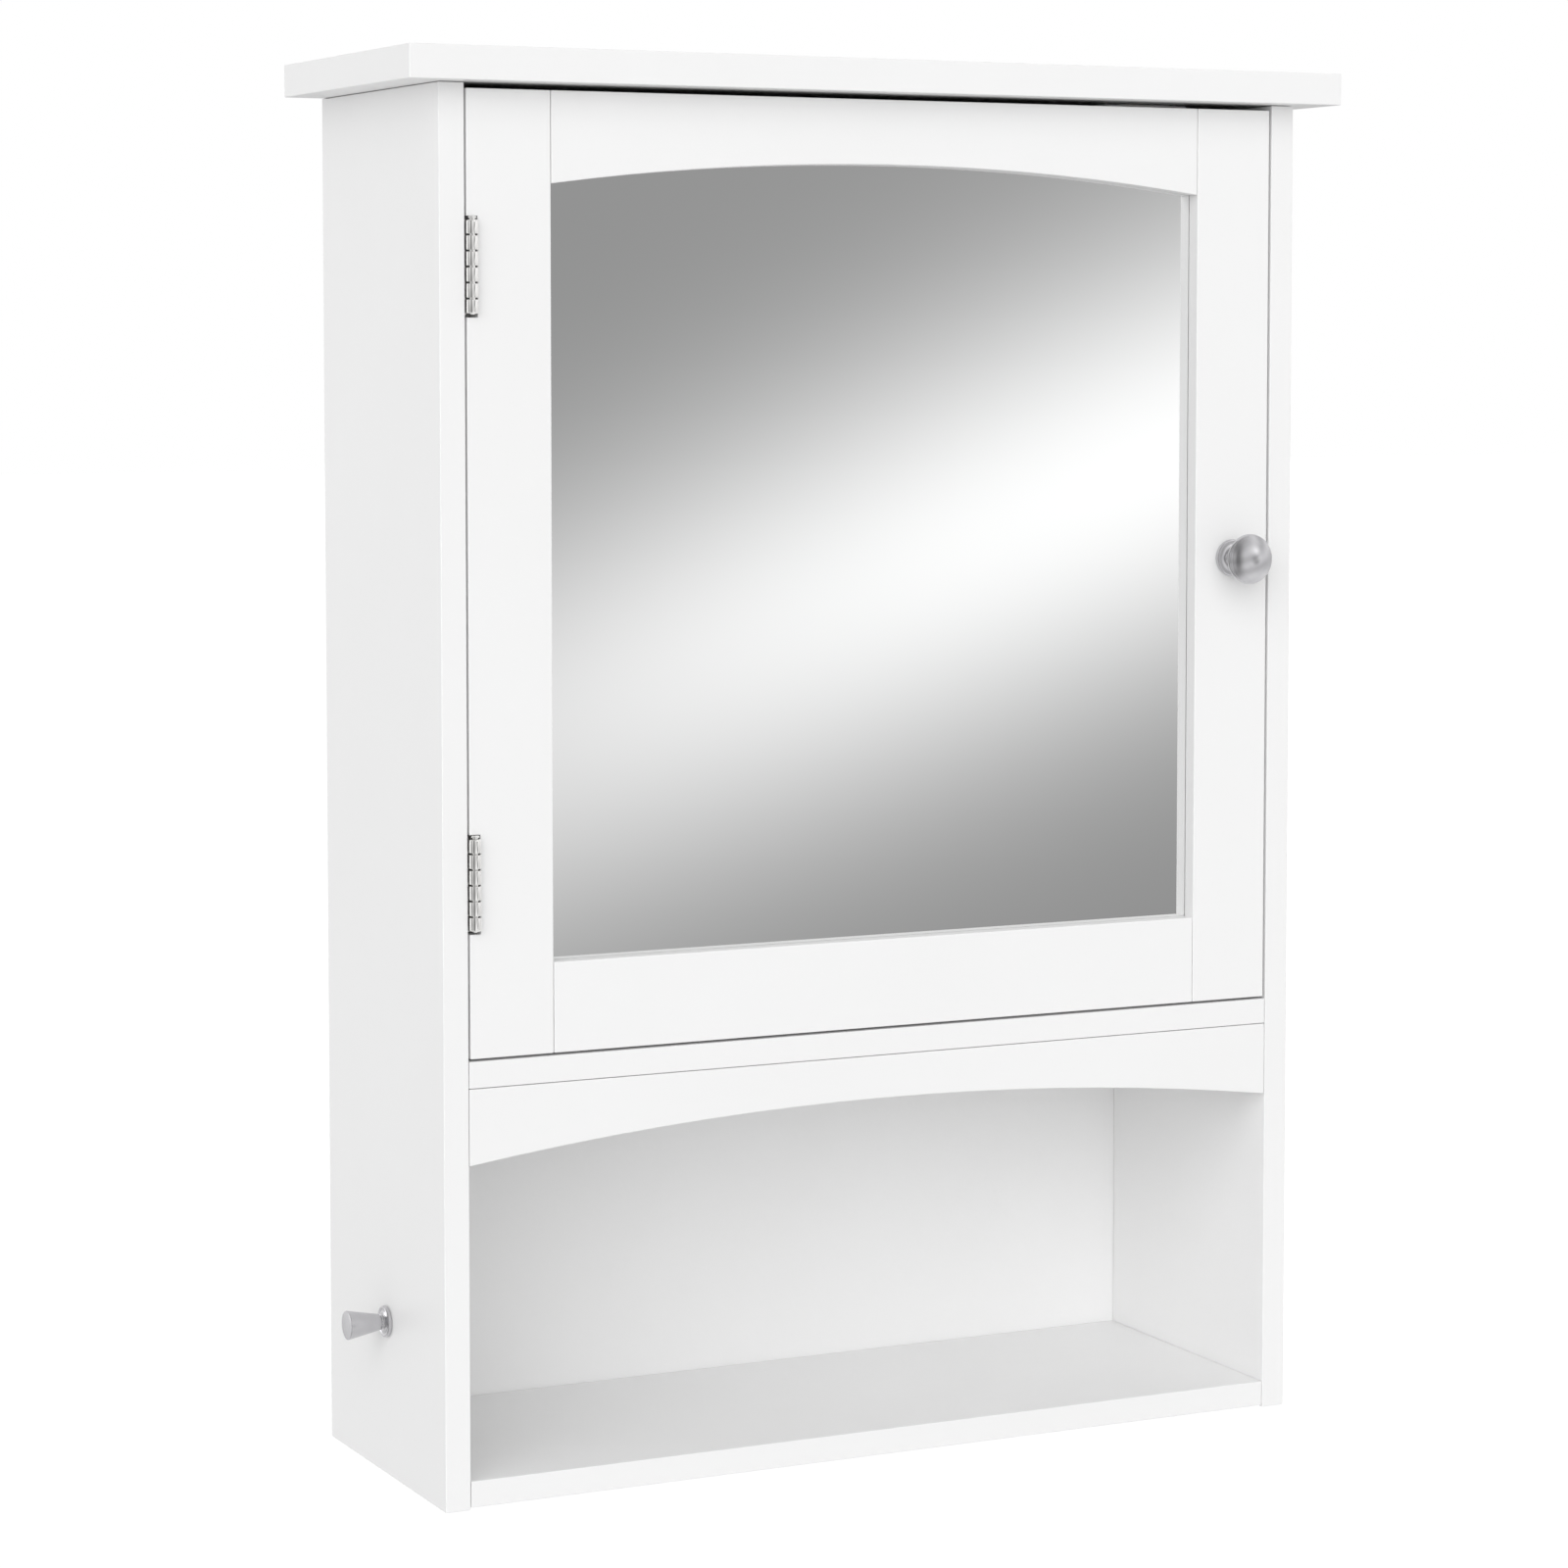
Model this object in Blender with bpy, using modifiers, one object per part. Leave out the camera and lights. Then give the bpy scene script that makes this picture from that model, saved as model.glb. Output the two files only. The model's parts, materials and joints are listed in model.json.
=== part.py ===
"""Hanging bathroom wall cabinet: a mirrored door over an open bay.

Frame: metres, +Z up, the front faces -Y and +X is the viewer's right.  The origin is the
centre of the hanging rail's rear face, which lies on the wall plane Y = 0.
"""
import math

import bmesh
import bpy
from mathutils import Matrix, Vector

# Fits
FIT = 0.0003                    # gap between faces that touch
TURNING_FIT = 0.0003            # radial gap round the hinge pins
ARRIS = 0.0004                  # rounding of the painted edges

# Carcass
CARCASS_WIDTH = 0.441
CARCASS_DEPTH = 0.149
SIDE_HEIGHT = 0.635
BOARD = 0.012                   # sides, fixed boards, apron and hanging rail
TOP_THICKNESS = 0.015
TOP_SIDE_OVERHANG = 0.0185
TOP_FRONT_OVERHANG = 0.0135
BOTTOM_LIFT = 0.001             # the bottom board sits this far above the ends of the sides
LOWER_BAY_HEIGHT = 0.1773
APRON_HEIGHT = 0.0345           # at its ends
APRON_RISE = 0.0145
RAIL_HEIGHT = 0.060
BACK_THICKNESS = 0.003
BACK_RECESS = 0.002
BACK_SIDE_LAP = 0.006
BACK_RAIL_LAP = 0.008

# Tongues that join the boards
TONGUE_THICKNESS = 0.006
TONGUE_LENGTH = 0.004
TOP_TONGUE_LENGTH = 0.006
TONGUE_STOP = 0.012             # a tongue ends this far from the board's edges
TONGUE_ROOT = 0.001             # how far a tongue starts inside its own board

# Adjustable shelf and its pins
SHELF_THICKNESS = 0.012
SHELF_DOOR_GAP = 0.0187         # from the shut door's back to the shelf's front edge
PIN_RADIUS = 0.0025
PIN_COLLAR_RADIUS = 0.0038
PIN_COLLAR_THICKNESS = 0.0012
PIN_NOSE_LENGTH = 0.0065
PIN_SHANK_LENGTH = 0.0075
PIN_CHAMFER = 0.0006
PIN_INSET = 0.022               # from the shelf's front and rear edges
PIN_ROWS = 3
PIN_PITCH = 0.032
PIN_ROW_IN_USE = 1

# Door
DOOR_THICKNESS = 0.015
DOOR_TOP_GAP = 0.0027
DOOR_BOTTOM_GAP = 0.0012
DOOR_HINGE_GAP = 0.001
DOOR_LATCH_GAP = 0.0014
STILE_WIDTH = 0.040
BOTTOM_RAIL_HEIGHT = 0.041
TOP_RAIL_HEIGHT = 0.041         # at its ends
TOP_RAIL_RISE = 0.0113
MIRROR_THICKNESS = 0.003
BACKING_THICKNESS = 0.0025
REBATE_DEPTH = 0.0074           # forward from the door's back, for the glass and its backing
REBATE = 0.006                  # how far the rebate is cut into the frame around the opening
GLASS_CLEARANCE = 0.001
TENON_LENGTH = 0.012
TENON_THICKNESS = 0.005
TENON_SHOULDER = 0.007
TENON_REBATE_MARGIN = 0.002

# Mirror clips
CLIP_LENGTH = 0.014
CLIP_WIDTH = 0.012
CLIP_THICKNESS = 0.0015
CLIP_REACH = 0.004              # over the backing board
CLIP_FOOT_INSET = 0.0008        # the foot that presses on the board stands inside the clip's outline
CLIP_SCREW_INSET = 0.005
CLIP_END_DISTANCE = 0.0695      # clip centre to the opening's bottom, or to the arch's springing

# Hinges
HINGE_LENGTH = 0.042
HINGE_END_DISTANCE = 0.078      # hinge centre to the door's top or bottom edge
KNUCKLES = 6
KNUCKLE_GAP = 0.0003
BARREL_RADIUS = 0.00275
HINGE_PIN_RADIUS = 0.0013
PIN_HEAD_RADIUS = 0.0019
PIN_HEAD_HEIGHT = 0.0008
BARREL_FORWARD = 0.0011         # hinge axis in front of the door's face
LEAF_THICKNESS = 0.001
LEAF_REACH = 0.0126             # from the hinge axis to the leaf's rear edge
LEAF_INSET = 0.0001             # the barrel stands this far proud of its leaf's flat
MORTISE_END_CLEARANCE = 0.0013
HINGE_SCREW_SPACING = 0.025

# Magnetic catch
CATCH_LENGTH = 0.046
CATCH_BODY_LENGTH = 0.028
CATCH_DEPTH = 0.013
CATCH_HEIGHT = 0.013
CATCH_EAR_THICKNESS = 0.003
CATCH_SCREW_SPACING = 0.037
CATCH_FROM_SIDE = 0.060         # centre of the catch to the right side's inner face
CATCH_GAP = 0.0004              # magnet to strike plate
MAGNET_LENGTH = 0.020
MAGNET_HEIGHT = 0.007
MAGNET_DEPTH = 0.009
MAGNET_PROUD = 0.0003
STRIKE_LENGTH = 0.026
STRIKE_HEIGHT = 0.0095
STRIKE_THICKNESS = 0.0012
SPIKE_RADIUS = 0.0012
SPIKE_LENGTH = 0.006

# Knob
KNOB_PROJECTION = 0.0235
KNOB_RADIUS = 0.012
KNOB_RIM_RADIUS = 0.0014        # rounding of the head's widest edge
KNOB_RIM_HEIGHT = 0.0169
KNOB_BASE_RADIUS = 0.0088
KNOB_BASE_HEIGHT = 0.0018
KNOB_NECK_RADIUS = 0.0043
KNOB_NECK_END = 0.0088          # where the neck flares into the head
KNOB_FLARE = 0.0062
KNOB_COVE = 0.0034
KNOB_EDGE = 0.0007
KNOB_THREAD_REACH = 0.0094      # how far its screw enters it
KNOB_BORE_END_CLEARANCE = 0.0023

# Peg
PEG_LENGTH = 0.0195
PEG_END_RADIUS = 0.0067
PEG_NECK_RADIUS = 0.0038
PEG_FLANGE_RADIUS = 0.00725
PEG_FLANGE_HEIGHT = 0.0013
PEG_COVE = 0.0018
PEG_EDGE = 0.0005
PEG_FROM_FRONT = 0.073
PEG_FROM_BOTTOM = 0.0717
PEG_THREAD_REACH = 0.0092       # how far its screw enters it
PEG_BORE_END_CLEARANCE = 0.0018

# Hanger plates, let into the rear of the rail
HANGER_SPACING = 0.300
HANGER_WIDTH = 0.018
HANGER_HEIGHT = 0.046
HANGER_THICKNESS = 0.0015
HANGER_SCREW_SPACING = 0.035
KEYHOLE_RADIUS = 0.0045
KEYHOLE_SLOT_WIDTH = 0.0044
KEYHOLE_SLOT_HEIGHT = 0.009
KEYHOLE_DROP = 0.004            # centre of the round hole below the plate's centre
KEYHOLE_POCKET_DEPTH = 0.008
KEYHOLE_POCKET_MARGIN = 0.001

# Screws: head radius, head height, shank radius, and length, which a countersunk screw has
# from its face and a pan-head screw has from under its head
HINGE_SCREW = (0.0022, 0.0012, 0.0012, 0.0095)
HANGER_SCREW = (0.0026, 0.0014, 0.0014, BOARD - 0.0025)
CLIP_SCREW = (0.0023, 0.0013, 0.0013, 0.0100)
CATCH_SCREW = (0.0027, 0.0015, 0.0014, 0.0125)
BACK_SCREW = (0.0028, 0.0015, 0.0013, 0.0140)
KNOB_SCREW = (0.0040, 0.0022, 0.0020, FIT + DOOR_THICKNESS + FIT + KNOB_THREAD_REACH)
PEG_SCREW = (0.0038, 0.0022, 0.0019, BOARD + FIT + PEG_THREAD_REACH)
HEAD_LIP = 0.0003               # straight rim of a countersunk head
BACK_SCREW_FROM_SIDE = 0.070
RECESS_LENGTH_SHARE = 1.1       # cross recess, as a share of the head's radius
RECESS_WIDTH = 0.0007
RECESS_DEPTH = 0.0009
HOLE_OVERRUN = 0.001            # how far the cutter of a countersunk hole stands out of it

ROUND_STEPS = 12
BARREL_STEPS = 16
FINE_STEPS = 24
ARCH_STEPS = 18
ARC_STEPS = 3

# Levels and planes that follow from the sizes above
FRONT = -CARCASS_DEPTH
BACK_FRONT = -(BACK_RECESS + BACK_THICKNESS)
INNER = CARCASS_WIDTH / 2 - BOARD
SIDE_TOP = RAIL_HEIGHT / 2
SIDE_BOTTOM = SIDE_TOP - SIDE_HEIGHT
TOP_UNDERSIDE = SIDE_TOP + FIT
BOTTOM_UNDERSIDE = SIDE_BOTTOM + BOTTOM_LIFT
BOTTOM_FACE = BOTTOM_UNDERSIDE + BOARD
MIDDLE_UNDERSIDE = BOTTOM_FACE + LOWER_BAY_HEIGHT
MIDDLE_FACE = MIDDLE_UNDERSIDE + BOARD
BACK_TOP = -RAIL_HEIGHT / 2 + BACK_RAIL_LAP

DOOR_LEFT = -INNER + DOOR_HINGE_GAP
DOOR_RIGHT = INNER - DOOR_LATCH_GAP
DOOR_TOP = TOP_UNDERSIDE - DOOR_TOP_GAP
DOOR_BOTTOM = MIDDLE_FACE + DOOR_BOTTOM_GAP
DOOR_BACK = FRONT + DOOR_THICKNESS
OPENING_LEFT = DOOR_LEFT + STILE_WIDTH
OPENING_RIGHT = DOOR_RIGHT - STILE_WIDTH
OPENING_BOTTOM = DOOR_BOTTOM + BOTTOM_RAIL_HEIGHT
ARCH_SPRING = DOOR_TOP - TOP_RAIL_HEIGHT
REBATE_TOP = ARCH_SPRING + TOP_RAIL_RISE + REBATE
REBATE_FLOOR = DOOR_BACK - REBATE_DEPTH
MIRROR_FACE = REBATE_FLOOR + FIT
BACKING_FACE = MIRROR_FACE + MIRROR_THICKNESS + FIT
BACKING_REAR = BACKING_FACE + BACKING_THICKNESS

HINGE_X = -INNER + FIT + BARREL_RADIUS
HINGE_Y = FRONT - BARREL_FORWARD
HINGE_CENTRES = {"upper": DOOR_TOP - HINGE_END_DISTANCE, "lower": DOOR_BOTTOM + HINGE_END_DISTANCE}

SHELF_REAR = BACK_FRONT - FIT
SHELF_FRONT = DOOR_BACK + SHELF_DOOR_GAP
PIN_MIDDLE_Z = (MIDDLE_FACE + TOP_UNDERSIDE - SHELF_THICKNESS) / 2
PIN_LEVELS = [PIN_MIDDLE_Z + (row - (PIN_ROWS - 1) / 2) * PIN_PITCH for row in range(PIN_ROWS)]
SHELF_UNDERSIDE = PIN_LEVELS[PIN_ROW_IN_USE] + PIN_RADIUS + FIT
PIN_LINES = {"front": SHELF_FRONT + PIN_INSET, "rear": SHELF_REAR - PIN_INSET}
CLIP_CENTRES = {"upper": ARCH_SPRING - CLIP_END_DISTANCE, "lower": OPENING_BOTTOM + CLIP_END_DISTANCE}
SIDES = {"left": -1, "right": 1}
SLACK = Vector((FIT, FIT, FIT))


# ---------------------------------------------------------------- scene and materials

def clear_scene():
    for old in list(bpy.data.objects):
        bpy.data.objects.remove(old, do_unlink=True)


def new_collection(name):
    collection = bpy.data.collections.new(name)
    bpy.context.scene.collection.children.link(collection)
    return collection


def new_material(name, colour, roughness, metallic=0.0):
    material = bpy.data.materials.new(name)
    material.use_nodes = True
    material.diffuse_color = (*colour, 1.0)
    shader = material.node_tree.nodes["Principled BSDF"]
    shader.inputs["Base Color"].default_value = (*colour, 1.0)
    shader.inputs["Roughness"].default_value = roughness
    shader.inputs["Metallic"].default_value = metallic
    return material


clear_scene()
cabinet = new_collection("hanging_wall_cabinet")
tools = new_collection("cutters")
hard_cases = set()

PAINT = new_material("white_paint", (0.90, 0.90, 0.90), 0.35)
MIRROR = new_material("mirror_glass", (0.80, 0.82, 0.82), 0.02, 1.0)
HARDBOARD = new_material("hardboard", (0.36, 0.23, 0.13), 0.75)
CHROME = new_material("bright_hinge_steel", (0.75, 0.75, 0.76), 0.12, 1.0)
NICKEL = new_material("satin_nickel", (0.55, 0.54, 0.53), 0.32, 1.0)
ZINC = new_material("zinc_plated_steel", (0.60, 0.60, 0.58), 0.35, 1.0)
PLASTIC = new_material("white_plastic", (0.86, 0.86, 0.84), 0.45)
MAGNET_STEEL = new_material("magnet_steel", (0.18, 0.18, 0.19), 0.45, 1.0)


# ---------------------------------------------------------------- building blocks

def add_object(name, mesh, location, rotation=(0.0, 0.0, 0.0), material=None):
    """Link a mesh as a part when it has a material, and as a cutter or joining tool if not."""
    obj = bpy.data.objects.new(name, mesh)
    obj.location = location
    obj.rotation_euler = rotation
    if material is None:
        tools.objects.link(obj)
        obj.hide_render = True
        obj.display_type = "WIRE"
        return obj
    cabinet.objects.link(obj)
    if not mesh.materials:
        mesh.materials.append(material)
    return obj


def block(name, low, high, material=None, arris=0.0):
    low, high = Vector(low), Vector(high)
    mesh = bpy.data.meshes.new(name)
    shape = bmesh.new()
    bmesh.ops.create_cube(shape, size=1.0, matrix=Matrix.Diagonal((*(high - low), 1.0)))
    shape.to_mesh(mesh)
    shape.free()
    obj = add_object(name, mesh, (low + high) / 2, material=material)
    if arris:
        round_edges(obj, arris)
    return obj


def round_edges(obj, radius):
    bevel = obj.modifiers.new("rounded_edges", "BEVEL")
    bevel.width = radius
    bevel.segments = 2
    bevel.limit_method = "ANGLE"
    bevel.angle_limit = math.radians(30)


def boolean(target, tool, operation):
    """EXACT loses rounded arches and tangent knuckles, so the parts named in hard_cases take MANIFOLD."""
    modifier = target.modifiers.new(tool.name, "BOOLEAN")
    modifier.operation = operation
    modifier.solver = "MANIFOLD" if target.name in hard_cases else "EXACT"
    modifier.object = tool


def cut(target, tool):
    boolean(target, tool, "DIFFERENCE")


def join(target, tool):
    boolean(target, tool, "UNION")


def aim(direction):
    """Rotation that turns local +Z to the direction."""
    return Vector(direction).to_track_quat("Z", "Y").to_euler()


def finished_mesh(obj, name):
    """The mesh of an object or a curve with its modifiers applied and its caps welded."""
    bpy.context.view_layer.update()
    evaluated = obj.evaluated_get(bpy.context.evaluated_depsgraph_get())
    mesh = bpy.data.meshes.new_from_object(evaluated)
    mesh.name = name
    shape = bmesh.new()
    shape.from_mesh(mesh)
    bmesh.ops.remove_doubles(shape, verts=shape.verts, dist=1e-6)
    bmesh.ops.recalc_face_normals(shape, faces=shape.faces)
    shape.to_mesh(mesh)
    shape.free()
    return mesh


def outline_board(name, points, low_y, high_y, material):
    """A flat outline given as (x, z) points, as thick as from low_y to high_y."""
    curve = bpy.data.curves.new(name, "CURVE")
    curve.dimensions = "2D"
    curve.fill_mode = "BOTH"
    curve.extrude = (high_y - low_y) / 2
    spline = curve.splines.new("POLY")
    spline.points.add(len(points) - 1)
    for point, (x, z) in zip(spline.points, points):
        point.co = (x, z, 0.0, 1.0)
    spline.use_cyclic_u = True
    drawn = bpy.data.objects.new(name + "_outline", curve)
    tools.objects.link(drawn)
    drawn.location = (0.0, (low_y + high_y) / 2, 0.0)
    drawn.rotation_euler = (math.pi / 2, 0.0, 0.0)
    mesh = finished_mesh(drawn, name)
    obj = add_object(name, mesh, drawn.location, drawn.rotation_euler, material)
    bpy.data.objects.remove(drawn, do_unlink=True)
    round_edges(obj, ARRIS)
    hard_cases.add(name)
    return obj


def turned_mesh(name, profile, steps):
    """Turn (radius, height) points, listed from top to bottom, round local Z."""
    mesh = bpy.data.meshes.new(name + "_profile")
    points = [(radius, 0.0, height) for radius, height in profile]
    edges = [(index, index + 1) for index in range(len(points) - 1)]
    mesh.from_pydata(points, edges, [])
    drawn = bpy.data.objects.new(name + "_profile", mesh)
    tools.objects.link(drawn)
    screw = drawn.modifiers.new("turn", "SCREW")
    screw.steps = steps
    screw.render_steps = steps
    screw.use_merge_vertices = True
    screw.merge_threshold = 1e-5
    turned = finished_mesh(drawn, name)
    bpy.data.objects.remove(drawn, do_unlink=True)
    turned.shade_smooth()
    turned.set_sharp_from_angle(angle=math.radians(35))
    return turned


def turned(name, profile, at, direction, material=None, steps=ROUND_STEPS):
    return add_object(name, turned_mesh(name, profile, steps), at, aim(direction), material)


def rod(name, radius, start, end, at, direction, material=None, steps=ROUND_STEPS):
    """A round bar or hole from start to end along the direction, measured from the point at."""
    profile = [(0.0, end), (radius, end), (radius, start), (0.0, start)]
    return turned(name, profile, at, direction, material, steps)


def arc(centre, radius, from_degrees, to_degrees, steps=ARC_STEPS):
    points = []
    for step in range(steps + 1):
        angle = math.radians(from_degrees + (to_degrees - from_degrees) * step / steps)
        points.append((centre[0] + radius * math.cos(angle), centre[1] + radius * math.sin(angle)))
    return points


def arch(left, right, spring, rise):
    """Points of a flat arch from its left spring over the crown to its right spring."""
    half = (right - left) / 2
    radius = (half ** 2 + rise ** 2) / (2 * rise)
    reach = math.degrees(math.asin(half / radius))
    centre = ((left + right) / 2, spring + rise - radius)
    return arc(centre, radius, 90 + reach, 90 - reach, ARCH_STEPS)


def tongue(board, receiver, low, high):
    """Grow a tongue on the board and cut its groove, one fit wider, in the receiver."""
    low, high = Vector(low), Vector(high)
    join(board, block(f"{board.name}_tongue", low, high))
    cut(receiver, block(f"{receiver.name}_groove", low - SLACK, high + SLACK))


# ---------------------------------------------------------------- screws

def countersunk_profile(size, grow=0.0):
    """Head flush with local Z = 0; grow widens it into the profile of its hole."""
    head_radius, head_height, shank_radius, length = size
    top = HOLE_OVERRUN if grow else 0.0
    return [(0.0, top), (head_radius + grow, top), (head_radius + grow, -HEAD_LIP - grow),
            (shank_radius + grow, -head_height - grow), (shank_radius + grow, -length + shank_radius),
            (0.0, -length - grow)]


def pan_profile(size):
    """Head standing on local Z = 0, its edge rounded as a quarter of an ellipse."""
    head_radius, head_height, shank_radius, length = size
    flat = head_radius * 0.4
    dome = [(flat + (head_radius - flat) * across, head_height * up)
            for across, up in arc((0.0, 0.0), 1.0, 90, 0)]
    return [(0.0, head_height), *dome,
            (shank_radius, 0.0), (shank_radius, -length + shank_radius), (0.0, -length)]


def screw_mesh(name, size, countersunk):
    """A screw with a cross recess, made once and shared by its copies."""
    profile = countersunk_profile(size) if countersunk else pan_profile(size)
    top = 0.0 if countersunk else size[1]
    made = add_object(name + "_blank", turned_mesh(name, profile, ROUND_STEPS), (0.0, 0.0, 0.0))
    reach = size[0] * RECESS_LENGTH_SHARE / 2
    half = RECESS_WIDTH / 2
    low, high = top - RECESS_DEPTH, top + RECESS_DEPTH
    along = block(name + "_recess_x", (-reach, -half, low), (reach, half, high))
    across = block(name + "_recess_y", (-half, -reach, low), (half, reach, high))
    cut(made, along)
    cut(made, across)
    mesh = finished_mesh(made, name)
    for used in (made, along, across):
        bpy.data.objects.remove(used, do_unlink=True)
    mesh.materials.clear()
    return mesh


def drive_screw(name, mesh, size, at, direction, material, drilled, countersunk=True):
    """Set a screw with its head facing the direction, and drill its hole through each part."""
    add_object(name, mesh, at, aim(direction), material)
    for part in drilled:
        if countersunk:
            hole = turned(name + "_hole", countersunk_profile(size, FIT), at, direction)
        else:
            hole = rod(name + "_hole", size[2] + FIT, -size[3] - FIT, FIT / 2, at, direction)
        cut(part, hole)


# ---------------------------------------------------------------- carcass

def build_sides():
    panels = {}
    for side, sign in SIDES.items():
        inner, outer = sign * INNER, sign * CARCASS_WIDTH / 2
        panel = block(f"side_panel_{side}", (min(inner, outer), FRONT, SIDE_BOTTOM),
                      (max(inner, outer), 0.0, SIDE_TOP), PAINT, ARRIS)
        mouth, lap = inner - sign * FIT, inner + sign * BACK_SIDE_LAP
        cut(panel, block(f"side_rebate_{side}", (min(mouth, lap), BACK_FRONT - FIT, SIDE_BOTTOM - FIT),
                         (max(mouth, lap), FIT, BACK_TOP)))
        panels[side] = panel
    return panels


def build_top(panels):
    half = CARCASS_WIDTH / 2 + TOP_SIDE_OVERHANG
    top = block("top_panel", (-half, FRONT - TOP_FRONT_OVERHANG, TOP_UNDERSIDE),
                (half, 0.0, TOP_UNDERSIDE + TOP_THICKNESS), PAINT, ARRIS)
    for side, sign in SIDES.items():
        middle = sign * (INNER + BOARD / 2)
        tongue(panels[side], top,
               (middle - TONGUE_THICKNESS / 2, FRONT + TONGUE_STOP, SIDE_TOP - TONGUE_ROOT),
               (middle + TONGUE_THICKNESS / 2, -TONGUE_STOP, SIDE_TOP + TOP_TONGUE_LENGTH))
    return top


def end_tongues(board, panels, low_y, high_y, low_z, high_z):
    for side, sign in SIDES.items():
        root = sign * (INNER - TONGUE_ROOT)
        tip = sign * (INNER + TONGUE_LENGTH)
        tongue(board, panels[side], (min(root, tip), low_y, low_z), (max(root, tip), high_y, high_z))


def build_fixed_board(name, underside, panels):
    board = block(name, (-INNER + FIT, FRONT, underside),
                  (INNER - FIT, BACK_FRONT - FIT, underside + BOARD), PAINT, ARRIS)
    margin = (BOARD - TONGUE_THICKNESS) / 2
    end_tongues(board, panels, FRONT + TONGUE_STOP, BACK_FRONT - TONGUE_STOP,
                underside + margin, underside + BOARD - margin)
    return board


def build_apron():
    high = MIDDLE_UNDERSIDE - FIT
    low = high - APRON_HEIGHT
    left, right = -INNER + FIT, INNER - FIT
    points = [(left, high), *arch(left, right, low, APRON_RISE), (right, high)]
    return outline_board("arched_apron", points, FRONT, FRONT + BOARD, PAINT)


def build_hanging_rail(panels):
    half = RAIL_HEIGHT / 2
    rail = block("hanging_rail", (-INNER + FIT, -BOARD, -half), (INNER - FIT, 0.0, half), PAINT, ARRIS)
    margin = (BOARD - TONGUE_THICKNESS) / 2
    end_tongues(rail, panels, -BOARD + margin, -margin, BACK_TOP + BACK_RAIL_LAP, half - TONGUE_STOP)
    cut(rail, block("rail_rebate", (-INNER, BACK_FRONT - FIT, -half - FIT), (INNER, FIT, BACK_TOP)))
    return rail


def build_back(boards):
    half = INNER + BACK_SIDE_LAP - FIT
    back = block("back_panel", (-half, BACK_FRONT, BOTTOM_UNDERSIDE),
                 (half, -BACK_RECESS, BACK_TOP - FIT), PAINT)
    mesh = screw_mesh("back_screw", BACK_SCREW, countersunk=False)
    for level, board, height in boards:
        for side, sign in SIDES.items():
            at = (sign * (INNER - BACK_SCREW_FROM_SIDE), -BACK_RECESS + FIT, height + BOARD / 2)
            drive_screw(f"back_screw_{level}_{side}", mesh, BACK_SCREW, at, (0, 1, 0), ZINC,
                        (back, board), countersunk=False)


def build_shelf(panels):
    reach = INNER - PIN_COLLAR_THICKNESS - FIT
    block("adjustable_shelf", (-reach, SHELF_FRONT, SHELF_UNDERSIDE),
          (reach, SHELF_REAR, SHELF_UNDERSIDE + SHELF_THICKNESS), PAINT, ARRIS)
    profile = [(0.0, PIN_NOSE_LENGTH), (PIN_RADIUS - PIN_CHAMFER, PIN_NOSE_LENGTH),
               (PIN_RADIUS, PIN_NOSE_LENGTH - PIN_CHAMFER), (PIN_RADIUS, PIN_COLLAR_THICKNESS),
               (PIN_COLLAR_RADIUS, PIN_COLLAR_THICKNESS), (PIN_COLLAR_RADIUS, FIT), (PIN_RADIUS, FIT),
               (PIN_RADIUS, -PIN_SHANK_LENGTH), (0.0, -PIN_SHANK_LENGTH)]
    mesh = turned_mesh("shelf_pin", profile, ROUND_STEPS)
    for side, sign in SIDES.items():
        for line, depth in PIN_LINES.items():
            inward = (-sign, 0, 0)
            for row, level in enumerate(PIN_LEVELS):
                at = (sign * INNER, depth, level)
                cut(panels[side], rod(f"pin_hole_{side}_{line}_{row}", PIN_RADIUS + FIT,
                                      -PIN_SHANK_LENGTH - FIT, FIT, at, inward))
            at = (sign * INNER, depth, PIN_LEVELS[PIN_ROW_IN_USE])
            add_object(f"shelf_pin_{side}_{line}", mesh, at, aim(inward), ZINC)


def build_hangers(rail):
    mesh = screw_mesh("hanger_screw", HANGER_SCREW, countersunk=True)
    round_z = -KEYHOLE_DROP
    slot_top = round_z + KEYHOLE_SLOT_HEIGHT
    slot_half = KEYHOLE_SLOT_WIDTH / 2
    pocket_half = KEYHOLE_RADIUS + KEYHOLE_POCKET_MARGIN
    for side, sign in SIDES.items():
        x = sign * HANGER_SPACING / 2
        low = Vector((x - HANGER_WIDTH / 2, -HANGER_THICKNESS, -HANGER_HEIGHT / 2))
        high = Vector((x + HANGER_WIDTH / 2, 0.0, HANGER_HEIGHT / 2))
        plate = block(f"hanger_plate_{side}", low, high, ZINC, FIT)
        cut(rail, block(f"hanger_seat_{side}", low - SLACK, high + SLACK))
        cut(rail, block(f"hanger_pocket_{side}",
                        (x - pocket_half, -KEYHOLE_POCKET_DEPTH, round_z - pocket_half),
                        (x + pocket_half, FIT, slot_top + pocket_half)))
        cut(plate, rod(f"keyhole_round_{side}", KEYHOLE_RADIUS, -HANGER_THICKNESS * 2, HANGER_THICKNESS,
                       (x, 0.0, round_z), (0, 1, 0)))
        cut(plate, block(f"keyhole_slot_{side}", (x - slot_half, -HANGER_THICKNESS * 2, round_z),
                         (x + slot_half, HANGER_THICKNESS, slot_top)))
        cut(plate, rod(f"keyhole_end_{side}", slot_half, -HANGER_THICKNESS * 2, HANGER_THICKNESS,
                       (x, 0.0, slot_top), (0, 1, 0)))
        for end, up in (("upper", 1), ("lower", -1)):
            drive_screw(f"hanger_screw_{side}_{end}", mesh, HANGER_SCREW,
                        (x, 0.0, up * HANGER_SCREW_SPACING / 2), (0, 1, 0), ZINC, (plate, rail))


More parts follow.
